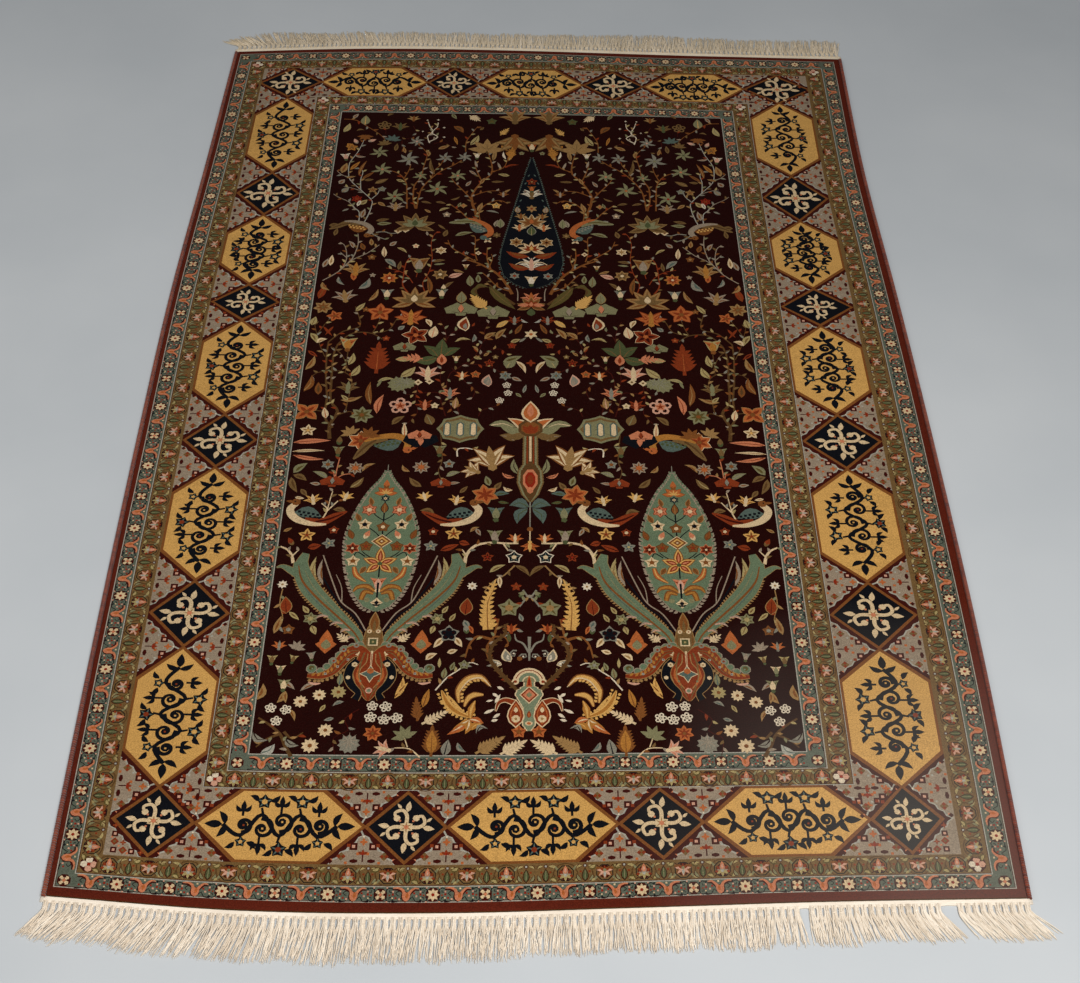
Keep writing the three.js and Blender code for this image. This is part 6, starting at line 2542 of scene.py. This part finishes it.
def make_strip(name, end):
    """The flat-woven strip beyond one end of the pile, ridged by its wefts."""
    middle = LENGTH / 2 + GAP + end["strip"] / 2
    rows = round(end["strip"] / STRIP["ridge"] * 2)
    columns = STRIP["columns"]
    rng = random.Random(name)
    wander = [rng.uniform(-STRIP["wander"], STRIP["wander"]) for _ in range(columns + 1)]
    vertices, faces = [], []
    for level in (0, 1):
        for j in range(rows + 1):
            for i in range(columns + 1):
                x, y = laid(WIDTH * (i / columns - 0.5), end["facing"] * middle)
                y += end["facing"] * end["strip"] * (j / rows - 0.5)
                if j == rows:
                    y += wander[i]
                edge = j in (0, rows) or i in (0, columns)
                height = STRIP["thickness"] * (STRIP["edge"] if edge else (1.0 if j % 2 else STRIP["valley"]))
                weave = STRIP["weave"] * (1 if (i + j // 2) % 2 else -1)
                vertices.append((x * MM, y * MM, (height + weave) * MM if level else 0.0))
    count = (rows + 1) * (columns + 1)

    def quad(a, b, c, d):
        faces.append((a, b, c, d) if end["facing"] > 0 else (d, c, b, a))

    for j in range(rows):
        for i in range(columns):
            a = j * (columns + 1) + i
            quad(a + count, a + count + 1, a + count + columns + 2, a + count + columns + 1)
            quad(a + columns + 1, a + columns + 2, a + 1, a)
    for i in range(columns):
        last = rows * (columns + 1) + i
        quad(i, i + 1, i + 1 + count, i + count)
        quad(last + 1, last, last + count, last + 1 + count)
    for j in range(rows):
        a, b = j * (columns + 1), (j + 1) * (columns + 1)
        quad(b, a, a + count, b + count)
        quad(a + columns, b + columns, b + columns + count, a + columns + count)
    mesh = bpy.data.meshes.new(name)
    mesh.from_pydata(vertices, [], faces)
    tone = mesh.attributes.new("tone", "FLOAT", "POINT")
    tone.data.foreach_set("value", [rng.uniform(0.0, 0.5) for _ in vertices])
    mesh.polygons.foreach_set("use_smooth", [True] * len(faces))
    return new_piece(name, mesh)


def bunch_lines(end, index, rng):
    """The threads of one bunch, and the turns of its knot."""
    across = 2 * (index + 0.5) / BUNCHES_PER_END - 1
    root_x, root_y = laid(
        across * (WIDTH - CORD["width"]) / 2, end["facing"] * (LENGTH / 2 + GAP + end["strip"])
    )
    in_tuft = 2 * ((index % TUFT["bunches"]) + 0.5) / TUFT["bunches"] - 1

    def own(kind):
        return rng.uniform(*VARIETY[kind])

    lean = math.radians(between(end["lie"], across, "across", "lean") + own("bunch lean"))
    reach = between(end["lie"], across, "across", "reach") * (1 - TUFT["shorter"] * in_tuft**2)
    reach *= own("bunch reach")
    lines = []
    for thread in range(BUNCH["threads"]):
        place = 2 * (thread + 0.5) / BUNCH["threads"] - 1
        own_reach = reach * own("reach")
        own_lean = lean + own("lean")
        level = own("level")
        wave, phase = own("wave"), own("phase")
        spread_more = own("spread")
        points, radii = [], []
        for station in STATIONS:
            at = station["at"]
            past = max(at - BUNCH["bend_from"], 0) * own_reach
            out = min(at, BUNCH["bend_from"]) + past * math.cos(own_lean)
            drift = past * math.sin(own_lean) - TUFT["pinch"] * in_tuft * past / BUNCH["length"]
            loose = min(max((at - BUNCH["bend_from"]) / BUNCH["loosen"], 0), 1)
            side = place * station["spread"] * (1 + (spread_more - 1) * loose)
            side += wave * loose * math.sin(phase + at * 0.33) + own("stray") * loose
            radius = station["radius"]
            heaped = BUNCH["rise"] * (1 - abs(place)) * (1 - loose)
            low = max(BUNCH["low"] + heaped + level * (1.6 - 0.3 * loose), radius)
            points.append((root_x + drift + side, root_y + end["facing"] * out, low + 0.05))
            radii.append(radius)
        lines.append((points, radii, False))
    for turn, tilt in KNOT_TURNS:
        points = []
        for i in range(KNOT["sides"]):
            angle = math.tau * i / KNOT["sides"]
            x = root_x + KNOT["wide"] * math.cos(angle)
            y = root_y + end["facing"] * (KNOT["at"] + turn + tilt * math.cos(angle))
            points.append((x, y, KNOT["middle"] + KNOT["tall"] * math.sin(angle)))
        lines.append((points, [KNOT["yarn"]] * KNOT["sides"], True))
    return lines


def make_fringe(name, end, pattern):
    """All the bunches of one end, but for its worn places."""
    rng = random.Random(name)
    lines = []
    for index in range(BUNCHES_PER_END):
        across = 2 * (index + 0.5) / BUNCHES_PER_END - 1
        if not any(low < across < high for low, high in end["bare"]):
            lines += bunch_lines(end, index, rng)
    return pattern.grow(name, curve_through(name, lines))


# Half the side of the floor, in metres
FLOOR = 20


def make_floor():
    """The plain pale floor that the rug lies on."""
    mesh = bpy.data.meshes.new("floor")
    points = [(-FLOOR, -FLOOR, 0), (FLOOR, -FLOOR, 0), (FLOOR, FLOOR, 0), (-FLOOR, FLOOR, 0)]
    mesh.from_pydata(points, [], [(0, 1, 2, 3)])
    floor = new_piece("floor", mesh)
    finish = Finish("pale floor")
    speckle = finish.noise(2.2, 4.0)
    coloured = finish.mix(finish.spread(speckle, 0.3, 0.7), linear("#b9bcbd"), linear("#c3c5c5"))
    mesh.materials.append(finish.shade(Base_Color=coloured, Roughness=0.6))


def add_lamp(name, place, target, size, power):
    data = bpy.data.lights.new(name, "AREA")
    data.shape = "RECTANGLE"
    data.size, data.size_y = size
    data.energy = power
    lamp = bpy.data.objects.new(name, data)
    lamp.location = place
    lamp.rotation_euler = (Vector(target) - Vector(place)).to_track_quat("-Z", "Y").to_euler()
    bpy.context.scene.collection.objects.link(lamp)


SKY = {"colour": (0.9, 0.94, 1.0, 1), "strength": 0.22}

# Each lamp's name, place, target, size and power
LAMPS = [
    ("soft key", (0.7, -2.1, 2.6), (0, -0.6, 0), (2.0, 1.4), 88),
    ("soft fill", (-2.4, -0.4, 2.4), (-0.2, -0.3, 0), (2.0, 2.0), 26),
]


def light_studio():
    """Soft light from the near right, a fill from the left and a pale sky."""
    bpy.context.scene.view_settings.view_transform = "Standard"
    world = bpy.data.worlds.new("studio")
    bpy.context.scene.world = world
    world.use_nodes = True
    sky = world.node_tree.nodes["Background"]
    sky.inputs[0].default_value = SKY["colour"]
    sky.inputs[1].default_value = SKY["strength"]
    for lamp in LAMPS:
        add_lamp(*lamp)


stand_camera()
light_studio()
make_floor()

drawing = []
draw_grounds(drawing)
draw_main_border(drawing)
band_rings(drawing)
draw_guards(drawing)
field_low, field_high = corners(BANDS[band("field")])
Pen(drawing).box("pale", field_low, field_high)
Pen(drawing).box("wine", *corners(BANDS[band("field")], BANDS[band("field")]["line"]))
draw_field(drawing)

# Smaller shapes than this, in square millimetres, are left off the back
LEAST_ON_BACK = 1500

edge = complex(WIDTH / 2 - CORD["width"] - GAP, LENGTH / 2)
pile = pile_finish()
cords = cord_finish()
near_cotton = cotton_finish("near cotton", "#f8ebd8", "#dccab2")
far_cotton = cotton_finish("far cotton", "#f4e3c8", "#cbb795")

ground = woven_slab(
    "pile_ground",
    -edge,
    edge,
    drawing,
    lambda x, y: GROUND_HEIGHT,
    lambda x, y: 0.0,
    face_up=False,
    least_area=LEAST_ON_BACK,
)
ground.data.materials.append(ground_finish())

# The panels of the pile: name, two corners, and the rows that its bake map lies in
PANELS = [
    ("pile_field", field_low, field_high, 1),
    ("border_near", -edge, complex(edge.real, field_low.imag), 2),
    ("border_far", complex(-edge.real, field_high.imag), edge, 2),
    ("border_left", complex(-edge.real, field_low.imag), complex(field_low.real, field_high.imag), 3),
    ("border_right", complex(field_high.real, field_low.imag), complex(edge.real, field_high.imag), 3),
]
panels = []
for name, low, high, rows in PANELS:
    panel = woven_slab(
        name, low, high, drawing, pile_top, lambda x, y: PILE["foot"], rows=rows, rim_lines=RIM_LINES
    )
    panel.data.materials.append(pile)
    panels.append(panel)

overcast = overcast_pattern(cords)
side_cords = [make_cord("cord_left", -1, overcast), make_cord("cord_right", 1, overcast)]

strips, fringes = [], []
for name, end, material in (("near", NEAR_END, near_cotton), ("far", FAR_END, far_cotton)):
    strip = make_strip("strip_" + name, end)
    strip.data.materials.append(material)
    strips.append(strip)
    fringes.append(make_fringe("threads_" + name, end, thread_pattern(material, "fringe " + name, 3)))

for piece in [ground, *panels, *side_cords, *strips, *fringes]:
    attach(piece, "root")
for piece in [ground, *panels]:
    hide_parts("pile_body")
for piece, node in zip(side_cords, ("selvedge_left", "selvedge_right")):
    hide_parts(node)
for strip, fringe, node in zip(strips, fringes, ("fringe_near", "fringe_far")):
    for piece in (strip, fringe):
        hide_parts(node)
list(strips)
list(fringes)
